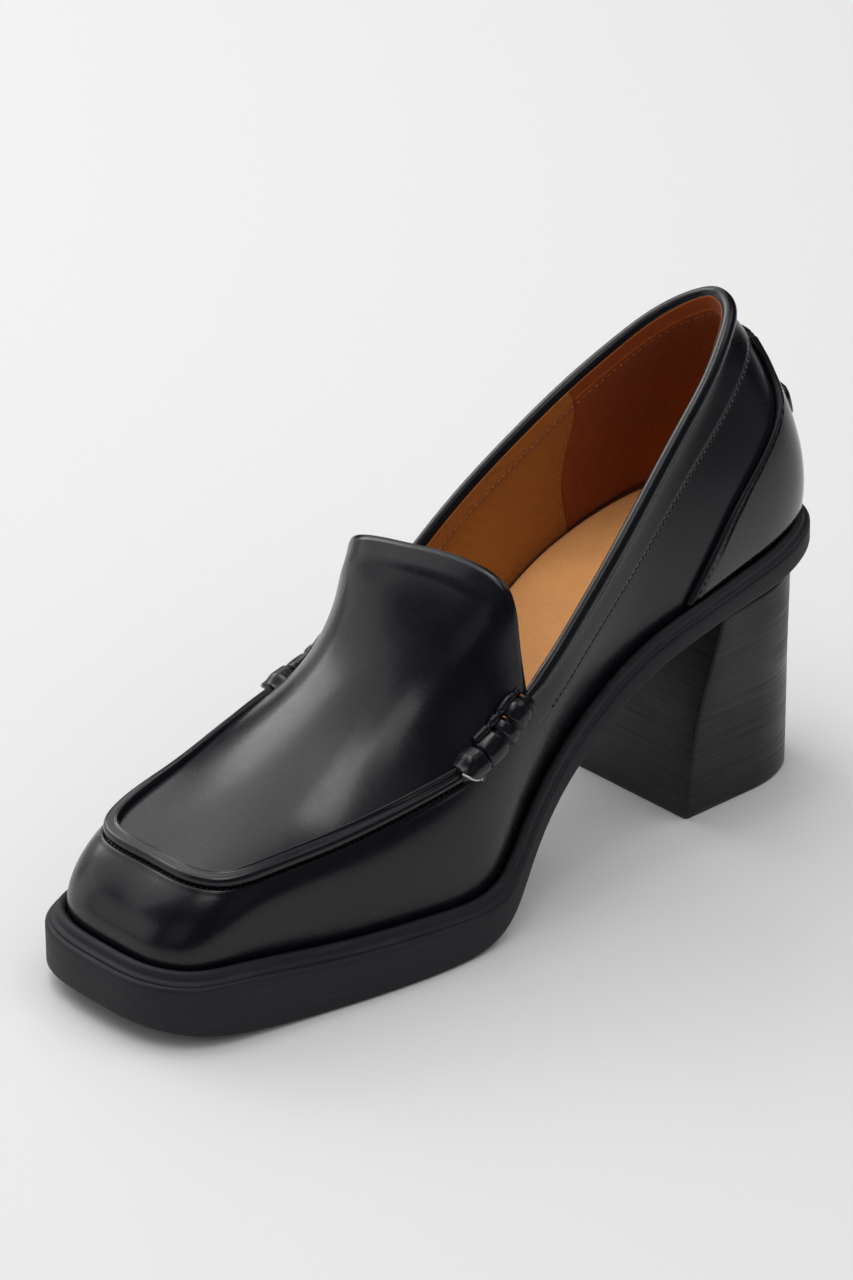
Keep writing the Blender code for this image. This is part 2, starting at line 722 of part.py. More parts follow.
def wall_point(grid, rib, row):
    """A point of the wall at a fractional rib and row."""
    i = min(int(rib), len(grid) - 2)
    k = min(int(row), grid.shape[1] - 2)
    s, t = rib - i, row - k
    low = grid[i, k] * (1 - s) + grid[i + 1, k] * s
    high = grid[i, k + 1] * (1 - s) + grid[i + 1, k + 1] * s
    return low * (1 - t) + high * t


def overlay(name, heights, place, columns, clearance, thickness, look):
    """A leather overlay across the back: the wall's own form, moved out by a clearance and given a thickness."""
    grid = wall_ring()
    last = len(LATERAL_WALL) - 1
    outer_feet = top_line(1)[:, 3]
    inner_feet = top_line(-1)[:, 3]
    points = []
    for height in heights:
        share = place(height)
        start = np.interp(share, outer_feet, np.arange(last + 1))
        end = 2 * last - np.interp(share, inner_feet, np.arange(last + 1))
        for c in range(columns + 1):
            rib = start + (end - start) * c / columns
            points.append(wall_point(grid, rib, height * (grid.shape[1] - 1)))
    faces = []
    for r in range(len(heights) - 1):
        for c in range(columns):
            p = r * (columns + 1) + c
            faces.append((p, p + 1, p + columns + 2, p + columns + 1))
    made = mesh_object(name, points, faces, PARTS)
    back = max(made.data.polygons, key=lambda f: f.center.y)
    if back.normal.y < 0:
        made.data.flip_normals()
    thicken(made, thickness, 1.0 + 2.0 * clearance / thickness)
    made.data.materials.append(look)
    return made


def make_counter():
    seam = lambda height: column(COUNTER_SEAM, 1, height)[0]
    heights = np.linspace(COUNTER_SEAM[0][0], COUNTER_SEAM[-1][0], 13)
    return overlay("counter", heights, seam, 44, COUNTER_CLEARANCE, COUNTER_THICKNESS, COUNTER_LEATHER)


def make_back_tab():
    """The small stitched tab at the back, outside the counter."""
    middle = 0.5 * (TAB_FOOT + TAB_HEAD)
    half = 0.5 * (TAB_HEAD - TAB_FOOT)

    def side(height):
        reach = abs(height - middle) / half
        return 1.0 - TAB_HALF * (1.0 - 0.25 * reach**4)

    heights = np.linspace(TAB_FOOT, TAB_HEAD, 7)
    clearance = COUNTER_CLEARANCE + COUNTER_THICKNESS + GAP
    return overlay("back_tab", heights, side, 12, clearance, TAB_THICKNESS, TAB_LEATHER)


make_outsole()
make_heel()
make_insole()
make_welt()
make_upper()
UPPER_CUTTER = make_upper_cutter()
make_apron_roll(UPPER_CUTTER)
make_saddle("saddle_lateral", LATERAL_WALL, SADDLE_LEATHER, UPPER_CUTTER)
make_saddle("saddle_medial", MEDIAL_WALL, SADDLE_LEATHER_INNER, UPPER_CUTTER)
make_binding()
make_counter()
make_back_tab()
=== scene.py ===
"""Left loafer pump on a block heel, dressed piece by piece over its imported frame.

Metres, +Z up. X runs across the shoe with the wearer's outer side at +X, Y along it with the toe at -Y.
"Along" columns are shares of LENGTH from the toe, "across" columns are shares of BALL_WIDTH from the middle.
"""
import math

import bmesh
import bpy
import numpy as np
from mathutils import Matrix, Vector


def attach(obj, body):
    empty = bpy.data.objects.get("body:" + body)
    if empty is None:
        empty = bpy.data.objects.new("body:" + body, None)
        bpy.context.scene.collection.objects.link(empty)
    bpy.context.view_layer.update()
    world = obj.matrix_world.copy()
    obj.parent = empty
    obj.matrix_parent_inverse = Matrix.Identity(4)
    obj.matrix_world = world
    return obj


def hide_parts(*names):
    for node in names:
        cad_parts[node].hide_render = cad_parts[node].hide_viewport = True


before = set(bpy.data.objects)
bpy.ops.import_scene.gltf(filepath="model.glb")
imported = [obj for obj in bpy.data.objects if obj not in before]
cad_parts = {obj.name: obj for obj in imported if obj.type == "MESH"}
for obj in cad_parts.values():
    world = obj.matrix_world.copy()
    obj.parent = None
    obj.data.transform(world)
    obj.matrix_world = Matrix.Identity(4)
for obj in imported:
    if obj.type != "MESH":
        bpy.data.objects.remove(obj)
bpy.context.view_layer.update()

bl_info = {
    "name": "Loafer pump",
    "version": (1, 0, 0),
    "blender": (4, 5, 0),
    "location": "3D View > Sidebar > Loafer pump",
    "description": "Builds a left loafer pump: sole, heel, upper, saddles, stitching and a small studio",
    "category": "Object",
}

MM = 0.001

# Sizes shared with the frame
LENGTH = 0.240
BALL_WIDTH = 0.0885
HEEL_HEIGHT = 0.0692
SOLE_THICKNESS = 0.0156
INSTEP_RISE = 0.0750
QUARTER_RISE = 0.0600
TOE_RISE = 0.0225
HEEL_ROUND = 0.112
HEEL_SQUARENESS = 2.3
SEAT = 0.0005
GAP = 0.0003
COLLAR_ROLL = 0.0020

# Sole outline, toe to heel: along, across
OUTLINE_LATERAL = (
    (0.0060, 0.174), (0.0400, 0.316), (0.1045, 0.381), (0.1890, 0.423), (0.2925, 0.471), (0.3795, 0.489),
    (0.4500, 0.468), (0.5100, 0.398), (0.5800, 0.347), (0.6700, 0.347), (0.7680, 0.375), (0.8540, 0.366),
    (0.9260, 0.345), (0.9870, 0.250),
)
OUTLINE_MEDIAL = (
    (0.0050, 0.198), (0.0320, 0.328), (0.0920, 0.401), (0.1750, 0.452), (0.2670, 0.497), (0.3400, 0.508),
    (0.4150, 0.477), (0.5000, 0.398), (0.5900, 0.338), (0.6880, 0.335), (0.7850, 0.354), (0.8600, 0.359),
    (0.9250, 0.325), (0.9790, 0.205),
)

# Sole, toe to heel: along, underside as a share of HEEL_HEIGHT, thickness as a share of SOLE_THICKNESS
SOLE_PROFILE = (
    (0.000, 0.077, 0.80), (0.083, 0.029, 1.00), (0.167, 0.005, 0.96), (0.240, 0.000, 0.88), (0.300, 0.000, 0.84),
    (0.360, 0.000, 0.79), (0.458, 0.072, 0.64), (0.542, 0.322, 0.50), (0.625, 0.563, 0.46), (0.708, 0.762, 0.42),
    (0.792, 0.866, 0.39), (0.896, 0.918, 0.45), (1.000, 1.000, 0.49),
)
TREAD_FRONT = 0.225
TREAD_BACK = 0.368

# Distance from the sole's edge in to the foot of the upper: along, share of BALL_WIDTH
FOOT_INSET = (
    (0.00, 0.077), (0.05, 0.068), (0.13, 0.079), (0.25, 0.079), (0.37, 0.073), (0.46, 0.059),
    (0.55, 0.049), (0.67, 0.048), (0.80, 0.049), (0.90, 0.051), (1.00, 0.061),
)

# Top edge of the wall: across, along, rise as a share of QUARTER_RISE, the share of the way round the foot line
# where its rib starts, flare of the rib at the foot and lean of the rib at the top in degrees
APRON_LATERAL = (
    (0.000, 0.0935, 0.376, 0.000, 11, 62), (0.140, 0.0945, 0.382, 0.052, 11, 62),
    (0.234, 0.1120, 0.393, 0.108, 12, 58), (0.284, 0.1600, 0.440, 0.168, 9, 50),
    (0.327, 0.2420, 0.505, 0.253, 5, 44), (0.366, 0.3330, 0.582, 0.345, 5, 36),
    (0.380, 0.3880, 0.633, 0.401, 5, 28), (0.383, 0.4210, 0.655, 0.436, 5, 23),
    (0.381, 0.4500, 0.668, 0.466, 5, 18), (0.376, 0.4790, 0.678, 0.494, 5, 14),
    (0.367, 0.5060, 0.690, 0.521, 5, 12),
)
COLLAR_LATERAL = (
    (0.354, 0.5500, 0.672, 0.563, 5, 10), (0.339, 0.6000, 0.676, 0.610, 5, 9),
    (0.316, 0.6600, 0.696, 0.668, 5, 10), (0.278, 0.7250, 0.750, 0.731, 5, 12),
    (0.237, 0.7870, 0.856, 0.792, 6, 17), (0.194, 0.8420, 0.962, 0.850, 8, 24),
    (0.134, 0.8900, 1.056, 0.907, 13, 33), (0.060, 0.9235, 1.098, 0.957, 17, 38),
    (-0.012, 0.9325, 1.104, 1.000, 18, 40),
)
APRON_MEDIAL = (
    (0.000, 0.0935, 0.376, 0.000, 11, 62), (0.142, 0.0920, 0.378, 0.052, 12, 62),
    (0.244, 0.1030, 0.383, 0.104, 13, 58), (0.304, 0.1480, 0.428, 0.158, 9, 50),
    (0.336, 0.2270, 0.500, 0.240, 5, 44), (0.372, 0.3170, 0.578, 0.331, 5, 36),
    (0.386, 0.3650, 0.622, 0.380, 5, 28), (0.392, 0.3980, 0.648, 0.413, 5, 23),
    (0.396, 0.4300, 0.662, 0.447, 5, 18), (0.396, 0.4600, 0.668, 0.477, 5, 14),
    (0.393, 0.4880, 0.672, 0.505, 5, 12),
)
COLLAR_MEDIAL = (
    (0.390, 0.5400, 0.628, 0.556, 5, 10), (0.374, 0.6000, 0.632, 0.613, 5, 9),
    (0.350, 0.6600, 0.654, 0.671, 5, 10), (0.312, 0.7250, 0.710, 0.734, 5, 12),
    (0.271, 0.7870, 0.814, 0.795, 6, 17), (0.228, 0.8420, 0.918, 0.852, 8, 24),
    (0.166, 0.8900, 1.020, 0.908, 13, 33), (0.086, 0.9235, 1.080, 0.957, 17, 38),
    (0.012, 0.9325, 1.104, 1.000, 18, 40),
)

# Free edge of the tongue, inner side to outer side: across, along, rise as a share of INSTEP_RISE
TONGUE_EDGE = (
    (-0.388, 0.492, 0.690), (-0.360, 0.488, 0.900), (-0.304, 0.484, 0.975), (-0.212, 0.487, 0.998),
    (-0.100, 0.492, 1.005), (0.008, 0.499, 1.000), (0.130, 0.506, 0.985), (0.235, 0.510, 0.955),
    (0.300, 0.511, 0.900), (0.335, 0.510, 0.740),
)

# How far the tongue's arch has grown on the way from the toe seam to the throat: share of the way, share of the arch
ARCH_GROWTH = (
    (0.00, 0.000), (0.12, 0.035), (0.25, 0.100), (0.40, 0.200), (0.55, 0.335), (0.70, 0.520), (0.85, 0.760),
    (1.00, 1.000),
)

# Heel block from the ground up: height share, breast along, half width across, back along
HEEL_FORM = (
    (0.00, 0.7785, 0.302, 0.9945), (0.14, 0.7792, 0.309, 0.9930), (0.33, 0.7815, 0.320, 0.9905),
    (0.50, 0.7865, 0.328, 0.9885), (0.66, 0.7950, 0.336, 0.9870), (0.83, 0.8075, 0.344, 0.9860),
    (1.00, 0.8200, 0.350, 0.9850),
)

# Front seam of the counter from the foot up: share up the wall, share of the way round the foot line
COUNTER_SEAM = (
    (0.090, 0.734), (0.130, 0.740), (0.240, 0.762), (0.350, 0.791), (0.440, 0.822), (0.510, 0.860), (0.580, 0.908),
    (0.660, 0.938), (0.750, 0.954), (0.840, 0.962),
)
TAB_FOOT = 0.375
TAB_HEAD = 0.535
TAB_HALF = 0.047

# Mesh counts: ribs round the toe, along the apron's side and along the collar, and rows up the wall
FRONT = 36
SIDE = 72
COLLAR = 120
THROAT = FRONT + SIDE
LAST = THROAT + COLLAR
SADDLE_RIBS = SIDE // 3
# Ribs of the coarser frame along the apron's side
FRAME_SIDE = 18
ROWS = np.r_[np.linspace(0.0, 0.78, 19), np.linspace(0.78, 0.87, 6)[1:], np.linspace(0.87, 1.0, 21)[1:]]

# Front seam of the heel grip inside: share up the wall, share of the way round the foot line
GRIP_SEAM = ((0.10, 0.777), (0.34, 0.775), (0.63, 0.787), (0.81, 0.795), (1.00, 0.790))

# Where the thread ties the saddle, as shares of its length
SADDLE_TIES = (0.28, 0.55, 0.70, 0.915)

# Where the saddle's line starts on the seam, how much fuller than its frame it is, and where its cut front edge lies
SADDLE_START = 0.04
SADDLE_FULLNESS = 1.18
CUT_EDGE_SHARE = 0.235

# Distances in metres: the apron's groove and its stitches below the seam, and the counter's foot off the wall
GROOVE_DROP = 2.45 * MM
STITCH_DROP = 2.62 * MM
COUNTER_STAND = 0.8 * MM

# Share of the way round the foot line where the heel grip starts under the collar
GRIP_START = 0.79

# The photo's size and the camera's focal length in pixels
PHOTO_WIDTH, PHOTO_HEIGHT = 853, 1280
FOCAL = 6676.5

# Soft creases of the upper in mm: both ends as across, along and up, then half width and depth
CREASES = (
    (16, -22, 60, 30, 2, 62, 5.0, -0.22), (20, -14, 64, 32, 10, 66, 4.0, 0.16),
    (12, -30, 56, 30, -12, 52, 6.0, -0.18), (-28, -14, 60, -12, -30, 57, 5.5, -0.18),
    (-30, -4, 64, -16, -18, 62, 4.0, 0.12), (-14, -44, 47, 16, -40, 48, 8.0, -0.16),
    (38, 2, 45, 38, -24, 30, 5.0, -0.22), (40, 12, 50, 37, -8, 30, 5.0, 0.16),
    (-38, 0, 45, -41, -26, 28, 5.0, -0.20), (36, 30, 56, 31, 44, 40, 6.0, -0.16),
    (-20, -96, 26, 8, -104, 22, 6.0, 0.05), (26, 78, 100, 31, 60, 76, 7.0, -0.14),
)


def spline(knots, values, at):
    """Natural cubic through values at the knots, read at the given places."""
    knots = np.asarray(knots, float)
    values = np.asarray(values, float).reshape(len(knots), -1)
    gap = np.diff(knots)
    slope = np.diff(values, axis=0) / gap[:, None]
    count = len(knots)
    matrix = np.eye(count)
    right = np.zeros_like(values)
    for i in range(1, count - 1):
        matrix[i, i - 1] = gap[i - 1]
        matrix[i, i] = 2 * (gap[i - 1] + gap[i])
        matrix[i, i + 1] = gap[i]
        right[i] = 6 * (slope[i] - slope[i - 1])
    bend = np.linalg.solve(matrix, right)
    at = np.clip(np.atleast_1d(np.asarray(at, float)), knots[0], knots[-1])
    k = np.clip(np.searchsorted(knots, at) - 1, 0, count - 2)
    h = gap[k][:, None]
    before = (at - knots[k])[:, None]
    after = h - before
    curve = (bend[k] * after**3 + bend[k + 1] * before**3) / (6 * h)
    line = (values[k] / h - bend[k] * h / 6) * after + (values[k + 1] / h - bend[k + 1] * h / 6) * before
    return curve + line


def chord_knots(points, power=0.6):
    """Knots spaced by the distance between points."""
    steps = np.linalg.norm(np.diff(points, axis=0), axis=1) ** power
    return np.r_[0.0, np.cumsum(steps)]


def run_length(points):
    """Distance run at each point of a polyline."""
    return np.r_[0.0, np.cumsum(np.linalg.norm(np.diff(points, axis=0), axis=1))]


def lengths(points):
    """Share of the whole length at each point of a polyline."""
    run = run_length(points)
    return run / run[-1]


def column(table, index, along):
    """One column of a table read as a smooth function of its first column."""
    rows = np.array(table)
    return spline(rows[:, 0], rows[:, index], along)[:, 0]


def ease(x, low, high):
    """A soft step from 0 to 1."""
    t = np.clip((np.asarray(x, float) - low) / (high - low), 0.0, 1.0)
    return t * t * (3.0 - 2.0 * t)


def hump(x, middle, half):
    """A soft bump of height 1."""
    t = np.clip(np.abs(np.asarray(x, float) - middle) / half, 0.0, 1.0)
    return (1.0 - t * t) ** 2


def unit(vectors):
    """Vectors scaled to a length of 1."""
    return vectors / np.maximum(np.linalg.norm(vectors, axis=-1, keepdims=True), 1e-12)


def underside(along):
    """Height of the sole's lower face, level over the tread."""
    along = np.asarray(along, float)
    rise = np.maximum(column(SOLE_PROFILE, 1, along), 0.0)
    return HEEL_HEIGHT * np.where((along > TREAD_FRONT) & (along < TREAD_BACK), 0.0, rise)


def deck(along):
    """Top of the sole, where the upper stands."""
    return underside(along) + SOLE_THICKNESS * column(SOLE_PROFILE, 2, along)


def above_deck(along, distance):
    """Height of a line that runs at a distance square to the sole's top."""
    step = 0.004
    slope = (deck(along + step) - deck(along - step)) / (2 * step * LENGTH)
    return deck(along) + distance * np.sqrt(1.0 + slope**2)


def to_along(y):
    """Share of LENGTH from the toe at a Y in metres."""
    return np.clip(np.asarray(y) / LENGTH + 0.5, 0.0, 1.0)


def closed_outline():
    """The sole's outline from the middle of the toe up the outer side and back down the inner one."""
    outer = [(across * BALL_WIDTH, (along - 0.5) * LENGTH) for along, across in OUTLINE_LATERAL]
    inner = [(-across * BALL_WIDTH, (along - 0.5) * LENGTH) for along, across in OUTLINE_MEDIAL]
    ring = np.array([(0.0, -0.5 * LENGTH)] + outer + [(0.0, 0.5 * LENGTH)] + inner[::-1])
    count = len(ring)
    padded = np.vstack([ring[-6:], ring, ring[:7]])
    knots = chord_knots(padded)
    middle = knots[6 + len(outer) + 1]
    up = spline(knots, padded, np.linspace(knots[6], middle, 400))
    down = spline(knots, padded, np.linspace(knots[6 + count], middle, 400))
    return up, down


OUTER_LINE, INNER_LINE = closed_outline()
MIDDLE = 0.5 * (OUTER_LINE[:, 0].max() + INNER_LINE[:, 0].min())


def edge_line(side, inset):
    """One side of the outline, toe to heel, moved in by a distance that may vary along it."""
    line = (OUTER_LINE if side > 0 else INNER_LINE).copy()
    line[:, 0] -= MIDDLE
    step = np.gradient(line, axis=0)
    step[0] = (side, 0.0)
    step[-1] = (-side, 0.0)
    normal = unit(np.stack([-step[:, 1], step[:, 0]], axis=1) * side)
    distance = inset(to_along(line[:, 1])) if callable(inset) else inset
    moved = line + normal * np.reshape(distance, (-1, 1))
    moved[0, 0] = moved[-1, 0] = -MIDDLE
    return moved


def along_line(line, shares):
    """Points of a polyline at shares of its length."""
    where = lengths(line)
    return np.stack([np.interp(shares, where, line[:, i]) for i in range(line.shape[1])], axis=1)


def foot_inset(along):
    """Distance in metres from the sole's edge in to the foot of the upper."""
    return BALL_WIDTH * column(FOOT_INSET, 1, along)


def sole_shares(steps):
    """Steps round half the sole, closer together at the toe and heel corners."""
    line = edge_line(1, 0.0)
    step = np.gradient(line, axis=0)
    turn = np.abs(np.gradient(np.unwrap(np.arctan2(step[:, 1], step[:, 0]))))
    weight = np.linalg.norm(step, axis=1) / LENGTH + 0.22 * turn
    total = np.cumsum(weight) - weight[0]
    return np.interp(np.linspace(0.0, 1.0, steps + 1), total / total[-1], lengths(line))


SHARES = sole_shares(120)


def ring_at(inset, height, shares=SHARES):
    """A closed ring of points at an inset from the outline: outer side up, inner side back."""
    outer = along_line(edge_line(1, inset), shares)
    inner = along_line(edge_line(-1, inset), shares)
    flat = np.vstack([outer, inner[-2:0:-1]])
    return np.column_stack([flat, height(to_along(flat[:, 1]))])


def mirrored_spline(knots, rows, places):
    """A spline that crosses the shoe's middle square on at both ends."""
    mirror = np.ones(rows.shape[1])
    mirror[0] = -1.0
    front = rows[1:3][::-1] * mirror
    rear = rows[-3:-1][::-1] * mirror
    rear[:, 0] += 2 * rows[-1, 0]
    front[:, 3] *= -1
    rear[:, 3] = 2 - rear[:, 3]
    padded = np.vstack([front, rows, rear])
    before = -knots[1:3][::-1]
    after = 2 * knots[-1] - knots[-3:-1][::-1]
    return spline(np.r_[before, knots, after], padded, places)


def top_line(side):
    """Ribs' upper ends on one side, toe to heel, with the columns that shape each rib."""
    apron = APRON_LATERAL if side > 0 else APRON_MEDIAL
    collar = COLLAR_LATERAL if side > 0 else COLLAR_MEDIAL
    rows = np.array(apron + collar)
    rise = rows[:, 2] * QUARTER_RISE
    rise[:2] += TOE_RISE - 0.376 * QUARTER_RISE
    x = side * rows[:, 0] * BALL_WIDTH
    y = (rows[:, 1] - 0.5) * LENGTH
    full = np.column_stack([x, y, deck(rows[:, 1]) + rise, rows[:, 3:]])
    knots = chord_knots(full[:, :3], 0.8)
    corner, throat = knots[2], knots[len(apron) - 1]
    # Ribs stand closer together toward the heel
    closing = 1.0 - (1.0 - np.linspace(0.0, 1.0, COLLAR + 1)[1:]) ** 1.35
    places = np.r_[
        np.linspace(0.0, corner, FRONT + 1),
        np.linspace(corner, throat, SIDE + 1)[1:],
        throat + (knots[-1] - throat) * closing,
    ]
    return mirrored_spline(knots, full, places)


def plan_outward(points):
    """Level unit vectors square to a line, pointing away from the shoe."""
    step = np.gradient(points[:, :2], axis=0)
    side = np.sign(points[len(points) // 2, 0])
    step[0] = (side, 0.0)
    step[-1] = (-side, 0.0)
    out = unit(np.stack([step[:, 1], -step[:, 0]], axis=1) * side)
    return np.column_stack([out, np.zeros(len(out))])


def upright(points):
    """Unit vectors square to a line and as upright as they can be."""
    step = np.gradient(points, axis=0)
    level = np.cross(step, (0.0, 0.0, 1.0))
    return unit(np.cross(level, step))


def collar_ramp(ribs):
    """How far the collar has grown to its full size at each rib: from 0 before the throat to 1 behind it."""
    return np.clip(((ribs - THROAT) * FRAME_SIDE / SIDE + 1) / 2.0, 0.0, 1.0)


def wall_side(side):
    """Ribs of one side as an array of rib, row, point: foot line to apron seam or collar edge."""
    top = top_line(side)
    foot_flat = along_line(edge_line(side, foot_inset), np.clip(top[:, 3], 0.0, 1.0))
    foot = np.column_stack([foot_flat, deck(to_along(foot_flat[:, 1])) + SEAT])
    flare = np.radians(top[:, 4])[:, None]
    lean = np.radians(top[:, 5])[:, None]
    ends = top[:, :3].copy()
    ends[:, 0] -= MIDDLE
    ends -= collar_ramp(np.arange(len(ends)))[:, None] * upright(ends) * (2 * COLLAR_ROLL + GAP)
    out_foot, out_top = plan_outward(foot), plan_outward(ends)
    up = np.array([0.0, 0.0, 1.0])
    # Each rib is a curve with handles a little over a third of its length
    span = np.linalg.norm(ends - foot, axis=1)[:, None] * 0.36
    first = foot + span * (out_foot * np.sin(flare) + up * np.cos(flare))
    second = ends - span * (-out_top * np.sin(lean) + up * np.cos(lean))
    t = ROWS[None, :, None]
    a, b, c, d = (p[:, None, :] for p in (foot, first, second, ends))
    return a * (1 - t)**3 + 3 * b * t * (1 - t)**2 + 3 * c * t**2 * (1 - t) + d * t**3


LATERAL_WALL = wall_side(1)
MEDIAL_WALL = wall_side(-1)
WALL = np.concatenate([LATERAL_WALL, MEDIAL_WALL[-2::-1]])
OUTER_FEET = top_line(1)[:, 3]
INNER_FEET = top_line(-1)[:, 3]


def grid_normals(grid):
    """Outward unit normals of a grid of rib, row, point."""
    return unit(np.cross(np.gradient(grid, axis=0), np.gradient(grid, axis=1)))


def row_runs(grid):
    """Distance run along each row of a grid of points."""
    return np.array([run_length(row) for row in grid])


WALL_OUT = grid_normals(WALL)
# Distance down from the top edge along each rib
WALL_DROP = row_runs(WALL[:, ::-1])[:, ::-1]


def on_wall(grid, rib, height):
    """Values of a wall grid at fractional ribs and shares of the height."""
    rib = np.clip(np.asarray(rib, float), 0.0, len(grid) - 1.001)
    row = np.interp(height, ROWS, np.arange(len(ROWS)))
    row = np.clip(row, 0.0, len(ROWS) - 1.001)
    i, k = rib.astype(int), row.astype(int)
    s, t = (rib - i)[..., None], (row - k)[..., None]
    low = grid[i, k] * (1 - s) + grid[i + 1, k] * s
    high = grid[i, k + 1] * (1 - s) + grid[i + 1, k + 1] * s
    return low * (1 - t) + high * t


def height_at(rib, drop):
    """Share of the height at a distance below the top edge."""
    rib = np.atleast_1d(rib)
    drop = np.broadcast_to(drop, rib.shape)
    near = np.clip(np.round(rib).astype(int), 0, len(WALL) - 1)
    return np.array([np.interp(d, WALL_DROP[i, ::-1], ROWS[::-1]) for i, d in zip(near, drop)])


def rib_at(share, side):
    """Fractional rib of the open wall at a share of the way round one side's foot line."""
    if side > 0:
        return np.interp(share, OUTER_FEET, np.arange(LAST + 1))
    return 2 * LAST - np.interp(share, INNER_FEET, np.arange(LAST + 1))


def tongue_edge(count):
    """Free edge of the tongue from the inner throat to the outer one."""
    rows = np.array(TONGUE_EDGE)
    x = rows[:, 0] * BALL_WIDTH - MIDDLE
    y = (rows[:, 1] - 0.5) * LENGTH
    z = deck(rows[:, 1]) + rows[:, 2] * INSTEP_RISE
    points = np.vstack([MEDIAL_WALL[THROAT, -1], np.column_stack([x, y, z]), LATERAL_WALL[THROAT, -1]])
    knots = chord_knots(points)
    line = spline(knots, points, np.linspace(0.0, knots[-1], 400))
    return along_line(line, np.linspace(0.0, 1.0, count + 1))


def vamp_grid():
    """The apron and tongue as rows from the toe seam to the tongue's edge, inner side to outer side."""
    across = 2 * FRONT
    inner = MEDIAL_WALL[FRONT:THROAT + 1, -1]
    outer = LATERAL_WALL[FRONT:THROAT + 1, -1]
    front = np.vstack([MEDIAL_WALL[FRONT:0:-1, -1], LATERAL_WALL[:FRONT + 1, -1]])
    back = tongue_edge(across)
    a = lengths(front)[:, None]
    b = lengths(back)[:, None]
    front_bow = front - (front[0] * (1 - a) + front[-1] * a)
    back_bow = back - (back[0] * (1 - b) + back[-1] * b)
    round_bow = np.zeros_like(back_bow)
    round_bow[:, 2] = back_bow[:, 2].max() * np.sin(math.pi * a[:, 0]).clip(0.0) ** 0.85
    rows = []
    for i in range(SIDE + 1):
        v = i / SIDE
        growth = column(ARCH_GROWTH, 1, v)[0]
        blend = v**3
        share = a * (1 - blend) + b * blend
        ruled = inner[i] * (1 - share) + outer[i] * share
        bow = growth * (blend * back_bow + (1 - blend) * round_bow)
        rows.append(ruled + bow + front_bow * (1 - v)**1.5)
    return np.array(rows)


VAMP = vamp_grid()


def grid_faces(rows, columns, wrap=False):
    """Quads of a grid of points stored row by row. Wrap joins the last row to the first."""
    faces = []
    for i, k in np.ndindex(rows if wrap else rows - 1, columns - 1):
        p, q = i * columns + k, (i + 1) % rows * columns + k
        faces.append((p, q, q + 1, p + 1))
    return faces


def upper_skin():
    """The wall and the vamp as one open mesh, welded along the apron seam."""
    ring = np.concatenate([LATERAL_WALL, MEDIAL_WALL[-2:0:-1]])
    total, rows = ring.shape[:2]
    points = list(ring.reshape(-1, 3))
    faces = grid_faces(total, rows, wrap=True)
    top = lambda rib: (rib % total) * rows + rows - 1
    index = np.zeros(VAMP.shape[:2], int)
    deep, wide = index.shape
    for i, k in np.ndindex(deep, wide):
        if i == 0:
            index[i, k] = top(k - FRONT)
        elif k == 0:
            index[i, k] = top(-(FRONT + i))
        elif k == wide - 1:
            index[i, k] = top(FRONT + i)
        else:
            index[i, k] = len(points)
            points.append(VAMP[i, k])
    for i, k in np.ndindex(deep - 1, wide - 1):
        faces.append((index[i, k], index[i, k + 1], index[i + 1, k + 1], index[i + 1, k]))
    return np.array(points), np.array(faces), index


def face_normals(points, faces):
    """Smooth outward normals of an open quad mesh."""
    corners = points[faces]
    flat = np.cross(corners[:, 2] - corners[:, 0], corners[:, 3] - corners[:, 1])
    out = np.zeros_like(points)
    for corner in range(4):
        np.add.at(out, faces[:, corner], flat)
    return unit(out)


def collection(name):
    """The collection of this name, made where it is missing."""
    group = bpy.data.collections.get(name)
    if group is None:
        group = bpy.data.collections.new(name)
        bpy.context.scene.collection.children.link(group)
    return group


def piece(name, points, faces, looks, stands_for=(), face_looks=None):
    """A smooth-shaded mesh that rides on the shoe's one body."""
    data = bpy.data.meshes.new(name)
    data.from_pydata([tuple(map(float, p)) for p in points], [], [tuple(map(int, face)) for face in faces])
    for look in looks:
        data.materials.append(finish(look))
    if face_looks is not None:
        data.polygons.foreach_set("material_index", np.asarray(face_looks, dtype=np.int32))
    data.polygons.foreach_set("use_smooth", [True] * len(data.polygons))
    data.update()
    made = bpy.data.objects.new(name, data)
    collection("loafer_pump_pieces").objects.link(made)
    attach(made, "root")
    if stands_for:
        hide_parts(*stands_for)
    return made


def turned_out(made):
    """Recalculate a closed piece's normals so that they point out."""
    work = bmesh.new()
    work.from_mesh(made.data)
    bmesh.ops.recalc_face_normals(work, faces=work.faces)
    work.to_mesh(made.data)
    work.free()
    return made


def sheet(name, points, faces, above, below, looks, slot, stands_for=(), marks=None):
    """A closed skin from an open quad mesh: its outer face moved out, its inner face moved the other way, and a rim.

    Looks are for the outer face, the inner face and the rim, as many as are given. With marks the looks are for the
    outer face alone, and each mark says which one a quad takes.
    """
    normals = face_normals(points, faces)
    above, below = np.reshape(above, (-1, 1)), np.reshape(below, (-1, 1))
    both = np.vstack([points + normals * above, points - normals * below])
    count = len(points)
    edges = {(int(face[i]), int(face[(i + 1) % 4])): None for face in faces for i in range(4)}
    rim = [(b, a, a + count, b + count) for a, b in edges if (b, a) not in edges]
    every = [tuple(f) for f in faces] + [tuple(i + count for i in f[::-1]) for f in faces] + rim
    inner = 1 if marks is None and len(looks) > 1 else 0
    edge = 2 if len(looks) > 2 else 0
    marks = [0] * len(faces) if marks is None else list(marks)
    marks += [inner] * len(faces) + [edge] * len(rim)
    return piece(name, both, every, looks, stands_for, marks)


def patch(name, grid, above, below, *rest, turned=True, **more):
    """A sheet from a grid of points. Turned is for a grid whose quads run clockwise as seen from outside."""
    faces = np.array(grid_faces(*grid.shape[:2]))
    return sheet(name, grid.reshape(-1, 3), faces[:, ::-1] if turned else faces, above, below, *rest, **more)


